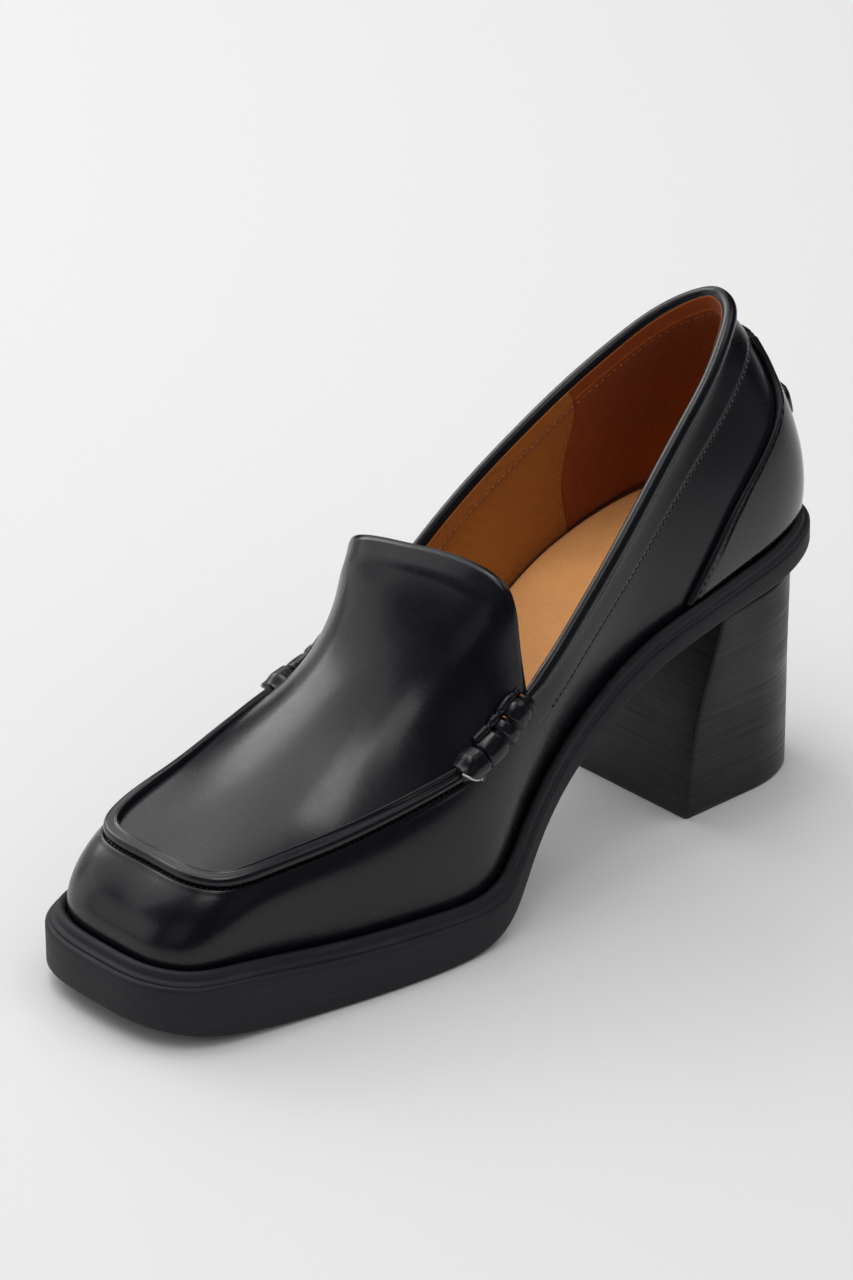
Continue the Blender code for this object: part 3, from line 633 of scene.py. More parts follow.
def sweep(name, line, across, out, sections, looks, stands_for=(), closed=False):
    """A solid along a line from closed sections given as sideways and outward offsets in metres."""
    count, sides = len(line), sections.shape[-2]
    sections = np.broadcast_to(sections, (count, sides, 2))
    points = line[:, None] + across[:, None] * sections[..., :1] + out[:, None] * sections[..., 1:]
    faces = []
    for i, k in np.ndindex(count if closed else count - 1, sides):
        low, high, m = i * sides, (i + 1) % count * sides, (k + 1) % sides
        faces.append((low + k, high + k, high + m, low + m))
    if not closed:
        faces.append(tuple(range(sides)))
        faces.append(tuple((count - 1) * sides + k for k in range(sides))[::-1])
    return turned_out(piece(name, points.reshape(-1, 3), faces, looks, stands_for))


def loft(name, rings, look, stands_for):
    """A solid through a stack of rings that are the same on both sides, its two ends closed with crosswise quads."""
    count = len(rings[0])
    half, last = count // 2, (len(rings) - 1) * count
    faces = []
    for level, i in np.ndindex(len(rings) - 1, count):
        low, high, j = level * count, (level + 1) * count, (i + 1) % count
        faces.append((low + i, low + j, high + j, high + i))
    for start in (0, last):
        faces.append((start, start + 1, start + count - 1))
        for i in range(1, half - 1):
            faces.append((start + i, start + i + 1, start + count - i - 1, start + count - i))
        faces.append((start + half - 1, start + half, start + half + 1))
    return turned_out(piece(name, np.vstack(rings), faces, [look], stands_for))


def round_section(radius, sides):
    """Corners of a regular polygon."""
    angles = np.linspace(0.0, 2 * math.pi, sides, endpoint=False)
    return radius * np.column_stack([np.cos(angles), np.sin(angles)])


def stitches(name, path, out, look, slot, *, pitch, length, radius, turn=0.0):
    """A row of single stitches along a path, each a small arched capsule that dives in at both ends.

    Turn is the angle in degrees between a stitch and the path.
    """
    run = run_length(path)
    places = np.arange(pitch / 2, run[-1], pitch)
    at = lambda values: np.column_stack([np.interp(places, run, values[:, i]) for i in range(3)])
    middle, up = at(path), unit(at(out))
    ahead = unit(at(np.gradient(path, axis=0)))
    angle = math.radians(turn)
    ahead = ahead * math.cos(angle) + np.cross(up, ahead) * math.sin(angle)
    beside = unit(np.cross(up, ahead))
    steps = np.array([-0.50, -0.40, -0.20, 0.0, 0.20, 0.40, 0.50]) * length
    rise = np.array([-1.6, -0.1, 0.75, 1.0, 0.75, -0.1, -1.6]) * radius
    width = np.array([0.45, 0.85, 1.0, 1.0, 1.0, 0.85, 0.45]) * radius
    sides = 6
    points, faces = [], []
    for p, u, a, b in zip(middle, up, ahead, beside):
        start = len(points)
        for s, r, w in zip(steps, rise, width):
            centre = p + a * s + u * r
            points.extend(centre + b * x + u * y for x, y in round_section(w, sides))
        for i, k in np.ndindex(len(steps) - 1, sides):
            q, m = start + i * sides, (k + 1) % sides
            faces.append((q + k, q + sides + k, q + sides + m, q + m))
        faces.append(tuple(range(start, start + sides)))
        faces.append(tuple(range(len(points) - sides, len(points)))[::-1])
    return turned_out(piece(name, points, faces, [look]))


def wall_path(ribs, drop, lift=0.0):
    """A path on the wall at a distance below its top edge, with the outward vectors."""
    height = height_at(ribs, drop)
    out = unit(on_wall(WALL_OUT, ribs, height))
    return on_wall(WALL, ribs, height) + out * lift, out


def linear(code):
    """An sRGB hex colour as linear red, green, blue and alpha."""
    parts = [int(code.lstrip("#")[i:i + 2], 16) / 255 for i in (0, 2, 4)]
    return tuple(c / 12.92 if c <= 0.04045 else ((c + 0.055) / 1.055) ** 2.4 for c in parts) + (1.0,)


def hex_colour(text, words, code):
    """A colour setting whose default is an sRGB hex value."""
    return bpy.props.FloatVectorProperty(
        name=text, description=words, subtype="COLOR", size=4, min=0.0, max=1.0, default=linear(code),
    )


def length_setting(text, words, size, most=0.02):
    """A size setting in metres."""
    return bpy.props.FloatProperty(
        name=text, description=words, default=size, min=0.0, max=most, subtype="DISTANCE", unit="LENGTH",
        precision=5,
    )


class LoaferPumpSizes(bpy.types.PropertyGroup):
    """Sizes of the trims, in metres."""

    leather: length_setting("Upper thickness", "Leather and lining together", 0.0018)
    roll_radius: length_setting("Apron roll radius", "Radius of the raised roll round the apron", 0.0020)
    bead_radius: length_setting("Bead radius", "Radius of the bead round the foot of the upper", 0.0014)
    binding_radius: length_setting("Collar roll radius", "Radius of the rolled collar edge", COLLAR_ROLL)
    saddle_radius: length_setting("Saddle radius", "Half width of the rolled saddles", 0.0036)
    strip_width: length_setting("Collar strip width", "Width of the stitched strip under the collar roll", 0.0100)
    counter_thickness: length_setting("Counter thickness", "Thickness of the back counter", 0.0012)
    counter_band: length_setting("Counter edge band", "Width of the rolled band at the counter's front edge", 0.0036)
    tab_thickness: length_setting("Tab thickness", "Thickness of the back tab", 0.0020)
    groove_depth: length_setting("Apron groove depth", "Depth of the stitched groove under the apron roll", 0.0011)
    apron_pitch: length_setting("Apron stitch pitch", "Distance between stitches under the apron roll", 0.0017)
    seam_pitch: length_setting("Seam stitch pitch", "Distance between stitches of the other seams", 0.0023)
    thread_radius: length_setting("Thread radius", "Radius of the sewing thread", 0.00022)
    insole_thickness: length_setting("Insole thickness", "Thickness of the padded insole", 0.0032)
    crease_share: bpy.props.FloatProperty(
        name="Crease depth", description="Share of the modelled depth of the soft creases", default=1.0, min=0.0,
        max=3.0, subtype="FACTOR",
    )


class LoaferPumpColours(bpy.types.PropertyGroup):
    """Colours of the leathers, the rubber and the studio."""

    leather: hex_colour("Box leather", "Polished black leather of the upper", "#0d0e13")
    sole: hex_colour("Sole rubber", "Matt black rubber of the sole", "#1f2023")
    heel: hex_colour("Heel", "Blacked stacked heel", "#111113")
    lining: hex_colour("Lining", "Tan pigskin lining of the front quarters", "#9a5a1e")
    heel_grip: hex_colour("Heel grip", "Darker napped leather that lines the heel", "#853b06")
    insole: hex_colour("Insole", "Tan calf of the insole", "#d89a5d")
    thread: hex_colour("Black thread", "Waxed thread of the outer seams", "#0e0e10")
    pale_thread: hex_colour("Tan thread", "Thread of the lining seams", "#a8733f")
    collar_thread: hex_colour("Collar thread", "Charcoal thread of the collar seam", "#3c3d40")
    bare_thread: hex_colour("Bare thread", "Thread ends beside the saddles, where the wax has worn off", "#8f5410")
    raw_edge: hex_colour("Raw edge", "Cut fibre edge of the saddle leather", "#d8d3c9")
    floor: hex_colour("Floor", "Pale studio floor", "#d2d2d1")


def sizes():
    return bpy.context.scene.loafer_pump_sizes


def colours():
    return bpy.context.scene.loafer_pump_colours


def plug(tree, node, inputs):
    """Fill a node's inputs: a socket is linked, and anything else is set as the input's own value."""
    for name, value in inputs.items():
        if isinstance(value, bpy.types.NodeSocket):
            tree.links.new(value, node.inputs[name])
        else:
            node.inputs[name].default_value = value


def add_node(tree, kind, at, inputs=(), **settings):
    """A shader node with its place in the editor, its inputs and its settings."""
    made = tree.nodes.new("ShaderNode" + kind)
    made.location = at
    for key, value in settings.items():
        setattr(made, key, value)
    plug(tree, made, dict(inputs))
    return made


def new_material(name):
    """A material with its node tree, its Principled shader and the shoe's own coordinates in metres."""
    made = bpy.data.materials.new(name)
    made.use_nodes = True
    tree = made.node_tree
    place = add_node(tree, "TexCoord", (-1400, 0)).outputs["Object"]
    return made, tree, tree.nodes["Principled BSDF"], place


def per(size):
    """The texture scale that draws features of a size in millimetres."""
    return 1.0 / (size * MM)


def shade(color, share):
    """A colour made darker or paler."""
    return tuple(c * share for c in color[:3]) + (1.0,)


def leather(name, color, grain, grain_depth, roughness, coat):
    """Box calf, chrome tanned, dyed black, glazed and polished.

    A deep near-black with a soft clear gloss over a fine pebble and a few longer wrinkles. Real pebble is about
    0.3 mm, and it is drawn at the grain size given in millimetres so that it shows.
    """
    made, tree, shader, place = new_material(name)
    pebble = add_node(tree, "TexVoronoi", (-900, -200), {"Vector": place, "Scale": per(grain)}, feature="SMOOTH_F1")
    wrinkle = add_node(tree, "TexNoise", (-900, -450), {
        "Vector": place, "Scale": per(4.5), "Detail": 3.0, "Roughness": 0.5, "Distortion": 0.6})
    cloud = add_node(tree, "TexNoise", (-900, 150), {"Vector": place, "Scale": per(28), "Detail": 2.0})
    where = add_node(tree, "MapRange", (-650, 150), {
        "Value": cloud.outputs["Fac"], "From Min": 0.35, "From Max": 0.65, "To Min": 0.45})
    height = add_node(tree, "Math", (-650, -250), {
        0: pebble.outputs["Distance"], 1: where.outputs["Result"]}, operation="MULTIPLY")
    both = add_node(tree, "Math", (-450, -300), {
        0: wrinkle.outputs["Fac"], 1: 0.07, 2: height.outputs["Value"]}, operation="MULTIPLY_ADD")
    bump = add_node(tree, "Bump", (-250, -300), {"Height": both.outputs["Value"], "Distance": grain_depth * MM})
    tone = add_node(tree, "MixRGB", (-450, 200), {
        "Fac": cloud.outputs["Fac"], "Color1": shade(color, 0.85), "Color2": shade(color, 1.2)})
    gloss = add_node(tree, "MapRange", (-450, 0), {
        "Value": wrinkle.outputs["Fac"], "From Min": 0.3, "From Max": 0.7, "To Min": roughness - 0.02,
        "To Max": roughness + 0.03})
    plug(tree, shader, {
        "Base Color": tone.outputs["Color"], "Roughness": gloss.outputs["Result"], "Normal": bump.outputs["Normal"],
        "IOR": 1.5, "Specular IOR Level": 0.30, "Coat Weight": coat, "Coat Roughness": 0.18})
    return made


def lining_leather(name, color, pore, roughness, nap, depth):
    """Vegetable-tanned lining leather, drum dyed and left matt.

    A warm even tan with small dark pores and a few soft folds. Pores are given in millimetres, coarser than life so
    that they show.
    """
    made, tree, shader, place = new_material(name)
    pores = add_node(tree, "TexVoronoi", (-900, -200), {"Vector": place, "Scale": per(pore)})
    cloud = add_node(tree, "TexNoise", (-900, 150), {
        "Vector": place, "Scale": per(14), "Detail": 5.0, "Roughness": 0.6})
    fine = add_node(tree, "TexNoise", (-900, -450), {"Vector": place, "Scale": per(0.8), "Detail": 3.0})
    fold = add_node(tree, "TexNoise", (-900, -700), {
        "Vector": place, "Scale": per(7), "Detail": 2.0, "Distortion": 1.5})
    dots = add_node(tree, "MapRange", (-650, -200), {
        "Value": pores.outputs["Distance"], "From Min": 0.08, "From Max": 0.30})
    tone = add_node(tree, "MixRGB", (-650, 200), {
        "Fac": cloud.outputs["Fac"], "Color1": shade(color, 0.82), "Color2": shade(color, 1.12)})
    spots = add_node(tree, "MixRGB", (-450, 200), {
        "Fac": dots.outputs["Result"], "Color1": shade(color, 0.80), "Color2": tone.outputs["Color"]})
    rough = add_node(tree, "Math", (-650, -450), {0: dots.outputs["Result"], 1: fine.outputs["Fac"]}, operation="ADD")
    height = add_node(tree, "Math", (-450, -300), {
        0: fold.outputs["Fac"], 1: 9.0, 2: rough.outputs["Value"]}, operation="MULTIPLY_ADD")
    bump = add_node(tree, "Bump", (-250, -300), {
        "Height": height.outputs["Value"], "Strength": 0.8, "Distance": depth * MM})
    plug(tree, shader, {
        "Base Color": spots.outputs["Color"], "Normal": bump.outputs["Normal"], "Roughness": roughness,
        "Specular IOR Level": 0.25, "Sheen Weight": nap, "Sheen Roughness": 0.5})
    return made


def sole_rubber(name, color):
    """Moulded black rubber, buffed after moulding.

    Matt charcoal with a fine speckle and faint paler scuffs that run along the edge.
    """
    made, tree, shader, place = new_material(name)
    speckle = add_node(tree, "TexNoise", (-900, -250), {"Vector": place, "Scale": per(0.6), "Detail": 4.0})
    stretch = add_node(tree, "Mapping", (-1050, 200), {"Vector": place, "Scale": (60.0, 60.0, 700.0)})
    scuff = add_node(tree, "TexNoise", (-900, 200), {
        "Vector": stretch.outputs["Vector"], "Scale": 1.0, "Detail": 6.0, "Roughness": 0.7})
    mark = add_node(tree, "MapRange", (-650, 200), {
        "Value": scuff.outputs["Fac"], "From Min": 0.50, "From Max": 0.74, "To Max": 0.8})
    tone = add_node(tree, "MixRGB", (-450, 200), {
        "Fac": mark.outputs["Result"], "Color1": color, "Color2": shade(color, 1.9)})
    gloss = add_node(tree, "MapRange", (-450, 0), {
        "Value": scuff.outputs["Fac"], "From Min": 0.3, "From Max": 0.7, "To Min": 0.48, "To Max": 0.66})
    bump = add_node(tree, "Bump", (-250, -300), {
        "Height": speckle.outputs["Fac"], "Strength": 0.5, "Distance": 0.05 * MM})
    plug(tree, shader, {
        "Base Color": tone.outputs["Color"], "Roughness": gloss.outputs["Result"], "Normal": bump.outputs["Normal"],
        "IOR": 1.5, "Specular IOR Level": 0.24})
    return made


def stacked_heel(name, color):
    """Stacked leather board, ground to shape, inked black and waxed.

    Fine level lines about 1 mm apart, where the layers take the ink unevenly, under a low wax gloss.
    """
    made, tree, shader, place = new_material(name)
    flat = add_node(tree, "Mapping", (-1200, 0), {"Vector": place, "Scale": (18.0, 18.0, 900.0)})
    layers = add_node(tree, "TexNoise", (-950, 150), {
        "Vector": flat.outputs["Vector"], "Scale": 1.0, "Detail": 5.0, "Roughness": 0.75})
    thin = add_node(tree, "Mapping", (-1200, -300), {"Vector": place, "Scale": (50.0, 50.0, 2600.0)})
    lines = add_node(tree, "TexNoise", (-950, -300), {"Vector": thin.outputs["Vector"], "Scale": 1.0, "Detail": 3.0})
    smear = add_node(tree, "TexNoise", (-950, 0), {"Vector": place, "Scale": per(22), "Detail": 3.0})
    streak = add_node(tree, "MapRange", (-700, 150), {
        "Value": layers.outputs["Fac"], "From Min": 0.42, "From Max": 0.75})
    tone = add_node(tree, "MixRGB", (-450, 200), {
        "Fac": streak.outputs["Result"], "Color1": shade(color, 0.6), "Color2": shade(color, 2.6)})
    wax = add_node(tree, "Math", (-700, 0), {
        0: smear.outputs["Fac"], 1: 0.7, 2: lines.outputs["Fac"]}, operation="MULTIPLY_ADD")
    gloss = add_node(tree, "MapRange", (-450, 0), {
        "Value": wax.outputs["Value"], "From Min": 0.6, "From Max": 1.1, "To Min": 0.26, "To Max": 0.56})
    bump = add_node(tree, "Bump", (-250, -300), {
        "Height": lines.outputs["Fac"], "Strength": 0.6, "Distance": 0.10 * MM})
    plug(tree, shader, {
        "Base Color": tone.outputs["Color"], "Roughness": gloss.outputs["Result"], "Normal": bump.outputs["Normal"],
        "IOR": 1.48, "Specular IOR Level": 0.38})
    return made


def waxed_thread(name, color):
    """Bonded polyester thread, twisted and waxed.

    A low gloss with the slanted ridges of the twist, drawn at 0.5 mm so that they show.
    """
    made, tree, shader, place = new_material(name)
    twist = add_node(tree, "TexWave", (-750, -150), {
        "Vector": place, "Scale": per(6.3 * 0.5), "Distortion": 1.0}, bands_direction="DIAGONAL")
    tone = add_node(tree, "MixRGB", (-450, 150), {
        "Fac": twist.outputs["Fac"], "Color1": shade(color, 0.7), "Color2": shade(color, 1.25)})
    bump = add_node(tree, "Bump", (-450, -200), {
        "Height": twist.outputs["Fac"], "Strength": 0.5, "Distance": 0.05 * MM})
    plug(tree, shader, {"Base Color": tone.outputs["Color"], "Normal": bump.outputs["Normal"], "Roughness": 0.42})
    return made


def cut_fibre(name, color):
    """The undyed core of the leather where a knife cut it: pale, dry and fibrous."""
    made, tree, shader, place = new_material(name)
    fibre = add_node(tree, "TexNoise", (-750, 0), {
        "Vector": place, "Scale": per(0.5), "Detail": 6.0, "Roughness": 0.8})
    tone = add_node(tree, "MixRGB", (-450, 150), {
        "Fac": fibre.outputs["Fac"], "Color1": shade(color, 0.55), "Color2": shade(color, 1.1)})
    bump = add_node(tree, "Bump", (-450, -200), {
        "Height": fibre.outputs["Fac"], "Strength": 0.9, "Distance": 0.2 * MM})
    plug(tree, shader, {"Base Color": tone.outputs["Color"], "Normal": bump.outputs["Normal"], "Roughness": 0.9})
    return made


def studio_paper(name, color):
    """Seamless pale paper under the shoe: matt, with hardly any grain."""
    made, tree, shader, place = new_material(name)
    grain = add_node(tree, "TexNoise", (-750, 0), {"Vector": place, "Scale": per(400), "Detail": 2.0})
    tone = add_node(tree, "MixRGB", (-450, 150), {
        "Fac": grain.outputs["Fac"], "Color1": shade(color, 0.985), "Color2": color})
    plug(tree, shader, {"Base Color": tone.outputs["Color"], "Roughness": 0.55})
    return made


# The finishes: how each is made, its colour setting, and the maker's own values
FINISHES = {
    "glazed_box_calf": (leather, "leather", dict(grain=0.9, grain_depth=0.020, roughness=0.28, coat=0.22)),
    "glazed_trim_calf": (leather, "leather", dict(grain=0.7, grain_depth=0.020, roughness=0.28, coat=0.25)),
    "skived_edge_calf": (leather, "leather", dict(grain=0.6, grain_depth=0.05, roughness=0.48, coat=0.10)),
    "high_glaze_box_calf": (leather, "leather", dict(grain=0.9, grain_depth=0.015, roughness=0.25, coat=0.6)),
    "cut_leather_fibre": (cut_fibre, "raw_edge", {}),
    "waxed_black_thread": (waxed_thread, "thread", {}),
    "waxed_tan_thread": (waxed_thread, "pale_thread", {}),
    "charcoal_bonded_thread": (waxed_thread, "collar_thread", {}),
    "bare_linen_thread": (waxed_thread, "bare_thread", {}),
    "pigskin_lining": (lining_leather, "lining", dict(pore=1.4, roughness=0.50, nap=0.10, depth=0.05)),
    "napped_heel_grip": (lining_leather, "heel_grip", dict(pore=0.8, roughness=0.85, nap=0.08, depth=0.08)),
    "tan_insole_calf": (lining_leather, "insole", dict(pore=1.0, roughness=0.55, nap=0.05, depth=0.04)),
    "buffed_black_rubber": (sole_rubber, "sole", {}),
    "inked_stacked_leather": (stacked_heel, "heel", {}),
    "seamless_paper": (studio_paper, "floor", {}),
}


def finish(name):
    """A finish by name, made once."""
    maker, colour, values = FINISHES[name]
    return bpy.data.materials.get(name) or maker(name, getattr(colours(), colour), **values)


def crease_height(points):
    """Soft troughs and ridges that a worn last leaves in the leather, as a height at each point."""
    total = np.zeros(len(points))
    for ax, ay, az, bx, by, bz, half, depth in CREASES:
        a, b = np.array([ax, ay, az]) * MM, np.array([bx, by, bz]) * MM
        along = np.clip((points - a) @ (b - a) / ((b - a) @ (b - a)), 0.0, 1.0)
        away = np.linalg.norm(points - (a + along[:, None] * (b - a)), axis=1)
        total += depth * MM * np.exp(-(away / (half * MM))**2) * (0.35 + 0.65 * np.sin(math.pi * along))
    return total * sizes().crease_share


def upper_height(points, index):
    """Outward offset of the upper's face: creases, and the stitched groove under the apron roll."""
    offset = crease_height(points)
    ribs = np.arange(2 * LAST)
    drop = WALL_DROP[ribs]
    saddle = THROAT - SADDLE_RIBS
    fade = 1.0 - ease(np.minimum(ribs, 2 * LAST - ribs), saddle - 2, saddle + 5)[:, None]
    groove = hump(drop, GROOVE_DROP, 0.62 * MM) * sizes().groove_depth
    lip = hump(drop, 3.5 * MM, 1.1 * MM) * 0.10 * MM
    offset[:drop.size] += ((lip - groove) * fade).reshape(-1)
    for seam in (index[0], index[:, 0], index[:, -1]):
        offset[seam] = 0.0
    return offset


def apron_frame(extra=0):
    """The apron seam from the inner saddle round the toe to the outer one, with its across and outward vectors."""
    last = THROAT - SADDLE_RIBS + extra
    inner = np.arange(last, 0, -1)
    outer = np.arange(0, last + 1)
    line = np.vstack([MEDIAL_WALL[inner, -1], LATERAL_WALL[outer, -1]])
    wall_out = np.vstack([WALL_OUT[2 * LAST - inner, -1], WALL_OUT[outer, -1]])
    vamp_out = grid_normals(np.swapaxes(VAMP, 0, 1))
    ride = lambda ribs, side: np.array([
        vamp_out[(FRONT + side * rib) if rib <= FRONT else (0 if side < 0 else 2 * FRONT), max(rib - FRONT, 0)]
        for rib in ribs
    ])
    top_out = np.vstack([ride(inner, -1), ride(outer, 1)])
    out = unit(unit(wall_out) + unit(top_out))
    ahead = unit(np.gradient(line, axis=0))
    across = unit(np.cross(ahead, out))
    return line, across, unit(np.cross(across, ahead))


class LOAFER_OT_sole(bpy.types.Operator):
    """Build the rubber sole and the bead round the foot of the upper"""

    bl_idname = "loafer.sole"
    bl_label = "Sole and bead"

    def execute(self, context):
        # The edge's rounded profile from the tread up: inset and height in mm, and which face the height is from
        profile = (
            (1.60, 0.00, underside), (0.90, 0.12, underside), (0.40, 0.45, underside), (0.10, 0.95, underside),
            (0.00, 1.45, underside), (0.00, 2.40, underside), (0.00, -1.60, deck), (0.10, -0.95, deck),
            (0.40, -0.42, deck), (0.85, -0.10, deck), (1.40, 0.00, deck),
        )
        rings = [ring_at(inset * MM, lambda along: face(along) + height * MM) for inset, height, face in profile]
        # The seat under the upper: share of the way in to the foot of the upper, and depth in mm
        for share, depth in ((0.50, 0.0), (0.72, 0.25), (1.10, 0.45)):
            rings.append(ring_at(lambda along: share * foot_inset(along), lambda along: deck(along) - depth * MM))
        loft("sole_unit", rings, "buffed_black_rubber", ("outsole",))
        radius = sizes().bead_radius
        inset = lambda along: foot_inset(along) - radius - 0.8 * MM
        line = ring_at(inset, lambda along: above_deck(along, GAP + radius), np.linspace(0.0, 1.0, 161))
        ahead = unit(np.roll(line, -1, 0) - np.roll(line, 1, 0))
        across = unit(np.cross(ahead, (0.0, 0.0, 1.0)))
        out = unit(np.cross(across, ahead))
        arc = np.radians(np.linspace(215, 18, 14))
        ridge = np.column_stack([np.cos(arc), np.sin(arc)])
        skirt = ((0.92, -0.10), (1.02, -0.42), (1.25, -0.62), (1.65, -0.74), (2.02, -0.95), (2.10, -1.26),
                 (0.60, -1.26), (-0.70, -1.00))
        section = np.repeat(np.vstack([ridge, skirt])[None], len(line), axis=0)
        # The skirt reaches as far over the flange as there is room for, in bead radii
        start, reach = 0.9, 2.1
        room = np.clip((inset(to_along(line[:, 1])) - 0.3 * MM) / radius, 1.0, reach)[:, None]
        sideways = section[..., 0]
        drawn = start + (sideways - start) * (room - start) / (reach - start)
        section[..., 0] = np.where(sideways > start, drawn, sideways)
        sweep("feather_bead", line, across, out, section * radius, ["buffed_black_rubber"], ("welt",),
              closed=True)
        return {"FINISHED"}


def heel_section(breast, half_width, back, corner):
    """Half of a D shape from the middle of the breast round to the middle of the back."""
    reach = HEEL_ROUND * LENGTH
    half = half_width * BALL_WIDTH
    start, end = (breast - 0.5) * LENGTH, (back - 0.5) * LENGTH
    centre = end - reach
    angles = np.linspace(0.0, math.pi / 2, 40)
    power = 2.0 / HEEL_SQUARENESS
    side = np.column_stack([half * np.cos(angles) ** power, centre + reach * np.sin(angles) ** power])
    turn = np.linspace(-math.pi / 2, 0.0, 7)
    round_corner = np.column_stack([half - corner + corner * np.cos(turn), start + corner + corner * np.sin(turn)])
    level = [(half * share, start) for share in (0.0, 0.25, 0.5, 0.75)]
    flank = [(half, start + corner + share * (centre - start - corner)) for share in (0.3, 0.65)]
    line = np.vstack([level, round_corner, flank, side])
    line[-1, 0] = 0.0
    return line


class LOAFER_OT_heel(bpy.types.Operator):
    """Build the blacked stacked heel"""

    bl_idname = "loafer.heel"
    bl_label = "Block heel"

    def execute(self, context):
        shares = np.r_[0.0, 0.006, 0.012, np.linspace(0.03, 0.97, 40), 1.0]
        rings = []
        for share in shares:
            breast, half, back = (column(HEEL_FORM, i, share)[0] for i in (1, 2, 3))
            # The top piece's foot is drawn in a little all round
            pinch = 0.35 * MM * (1.0 - ease(share, 0.0, 0.012))
            outer = heel_section(breast + pinch / LENGTH, half - pinch / BALL_WIDTH, back - pinch / LENGTH,
                                 corner=1.2 * MM)
            flat = np.vstack([outer, outer[-2:0:-1] * (-1.0, 1.0)])
            flat[:, 0] -= MIDDLE * 0.6
            top = underside(to_along(flat[:, 1])) - GAP
            rings.append(np.column_stack([flat, share * top]))
        loft("stacked_heel", rings, "inked_stacked_leather", ("heel",))
        return {"FINISHED"}


class LOAFER_OT_upper(bpy.types.Operator):
    """Build the upper: vamp, tongue and quarters outside, tan lining inside"""

    bl_idname = "loafer.upper"
    bl_label = "Upper"

    def execute(self, context):
        points, faces, index = upper_skin()
        sheet("vamp_and_quarters", points, faces, upper_height(points, index), sizes().leather,
              ["glazed_box_calf", "pigskin_lining", "glazed_trim_calf"], "box_leather", ("upper",))
        return {"FINISHED"}


class LOAFER_OT_apron(bpy.types.Operator):
    """Build the raised roll round the apron and the stitches in the groove under it"""

    bl_idname = "loafer.apron"
    bl_label = "Apron roll"

    def execute(self, context):
        line, across, out = apron_frame(5)
        radius = sizes().roll_radius
        share = run_length(line)
        near = np.minimum(share, share[-1] - share)
        # The roll's section in radii, as it runs round the toe and as two cords beside the saddles
        plain = np.array([
            (-1.02, -0.50), (-1.10, 0.05), (-1.12, 0.42), (-1.08, 0.60), (-0.98, 0.66), (-0.86, 0.62), (-0.66, 0.58),
            (-0.36, 0.64), (-0.02, 0.76), (0.30, 0.84), (0.58, 0.83), (0.82, 0.70), (1.00, 0.45), (1.10, 0.12),
            (1.10, -0.16), (0.98, -0.42), (0.60, -0.55), (-0.60, -0.55),
        ])
        twin = np.array([
            (-1.00, -0.50), (-1.12, 0.02), (-1.14, 0.40), (-1.02, 0.70), (-0.78, 0.84), (-0.54, 0.76), (-0.38, 0.52),
            (-0.22, 0.44), (-0.06, 0.58), (0.14, 0.82), (0.44, 0.92), (0.74, 0.82), (0.96, 0.52), (1.06, 0.14),
            (1.04, -0.18), (0.94, -0.42), (0.60, -0.55), (-0.60, -0.55),
        ])
        blend = (1.0 - ease(near, 6.0 * MM, 46.0 * MM))[:, None, None]
        sections = radius * (plain * (1.0 - blend) + twin * blend)
        # Three corners for each of the coarse ones, then smoothed
        corners = len(plain)
        fine = np.linspace(0.0, corners, 3 * corners + 1)[:-1]
        closed = np.concatenate([sections, sections[:, :1]], axis=1)
        sections = np.stack([
            np.column_stack([np.interp(fine, np.arange(corners + 1), one[:, i]) for i in (0, 1)]) for one in closed
        ])
        for _ in range(3):
            sections = 0.5 * sections + 0.25 * (np.roll(sections, 1, 1) + np.roll(sections, -1, 1))
        sweep("apron_piping", line, across, out, sections, ["glazed_trim_calf"], ("apron_roll",))
        ribs = np.arange(0, THROAT - SADDLE_RIBS - 1)
        sides = [wall_path(side, STITCH_DROP, -0.42 * MM) for side in (2 * LAST - ribs[:0:-1], ribs)]
        path, path_out = (np.vstack(parts) for parts in zip(*sides))
        stitches("apron_stitching", path, path_out, "waxed_black_thread", "roll_leather", pitch=sizes().apron_pitch,
                 length=1.25 * MM, radius=0.19 * MM, turn=72)
        return {"FINISHED"}


def saddle_frame(wall, side):
    """The seam between the end of the apron roll and the throat, with its across and outward vectors."""
    ribs = np.arange(THROAT - SADDLE_RIBS, THROAT + 1)
    seam = wall[ribs, -1]
    shares = np.linspace(SADDLE_START, 1.0, 121)
    line = along_line(seam, shares)
    index = ribs if side > 0 else 2 * LAST - ribs
    wall_out = unit(WALL_OUT[index, -1])
    vamp_out = grid_normals(np.swapaxes(VAMP, 0, 1))[0 if side < 0 else 2 * FRONT, ribs - FRONT]
    out = along_line(np.hstack([seam, unit(wall_out + unit(vamp_out))]), shares)[:, 3:]
    ahead = unit(np.gradient(line, axis=0))
    across = unit(np.cross(ahead, out)) * side
    return line, across, unit(out), lengths(line)


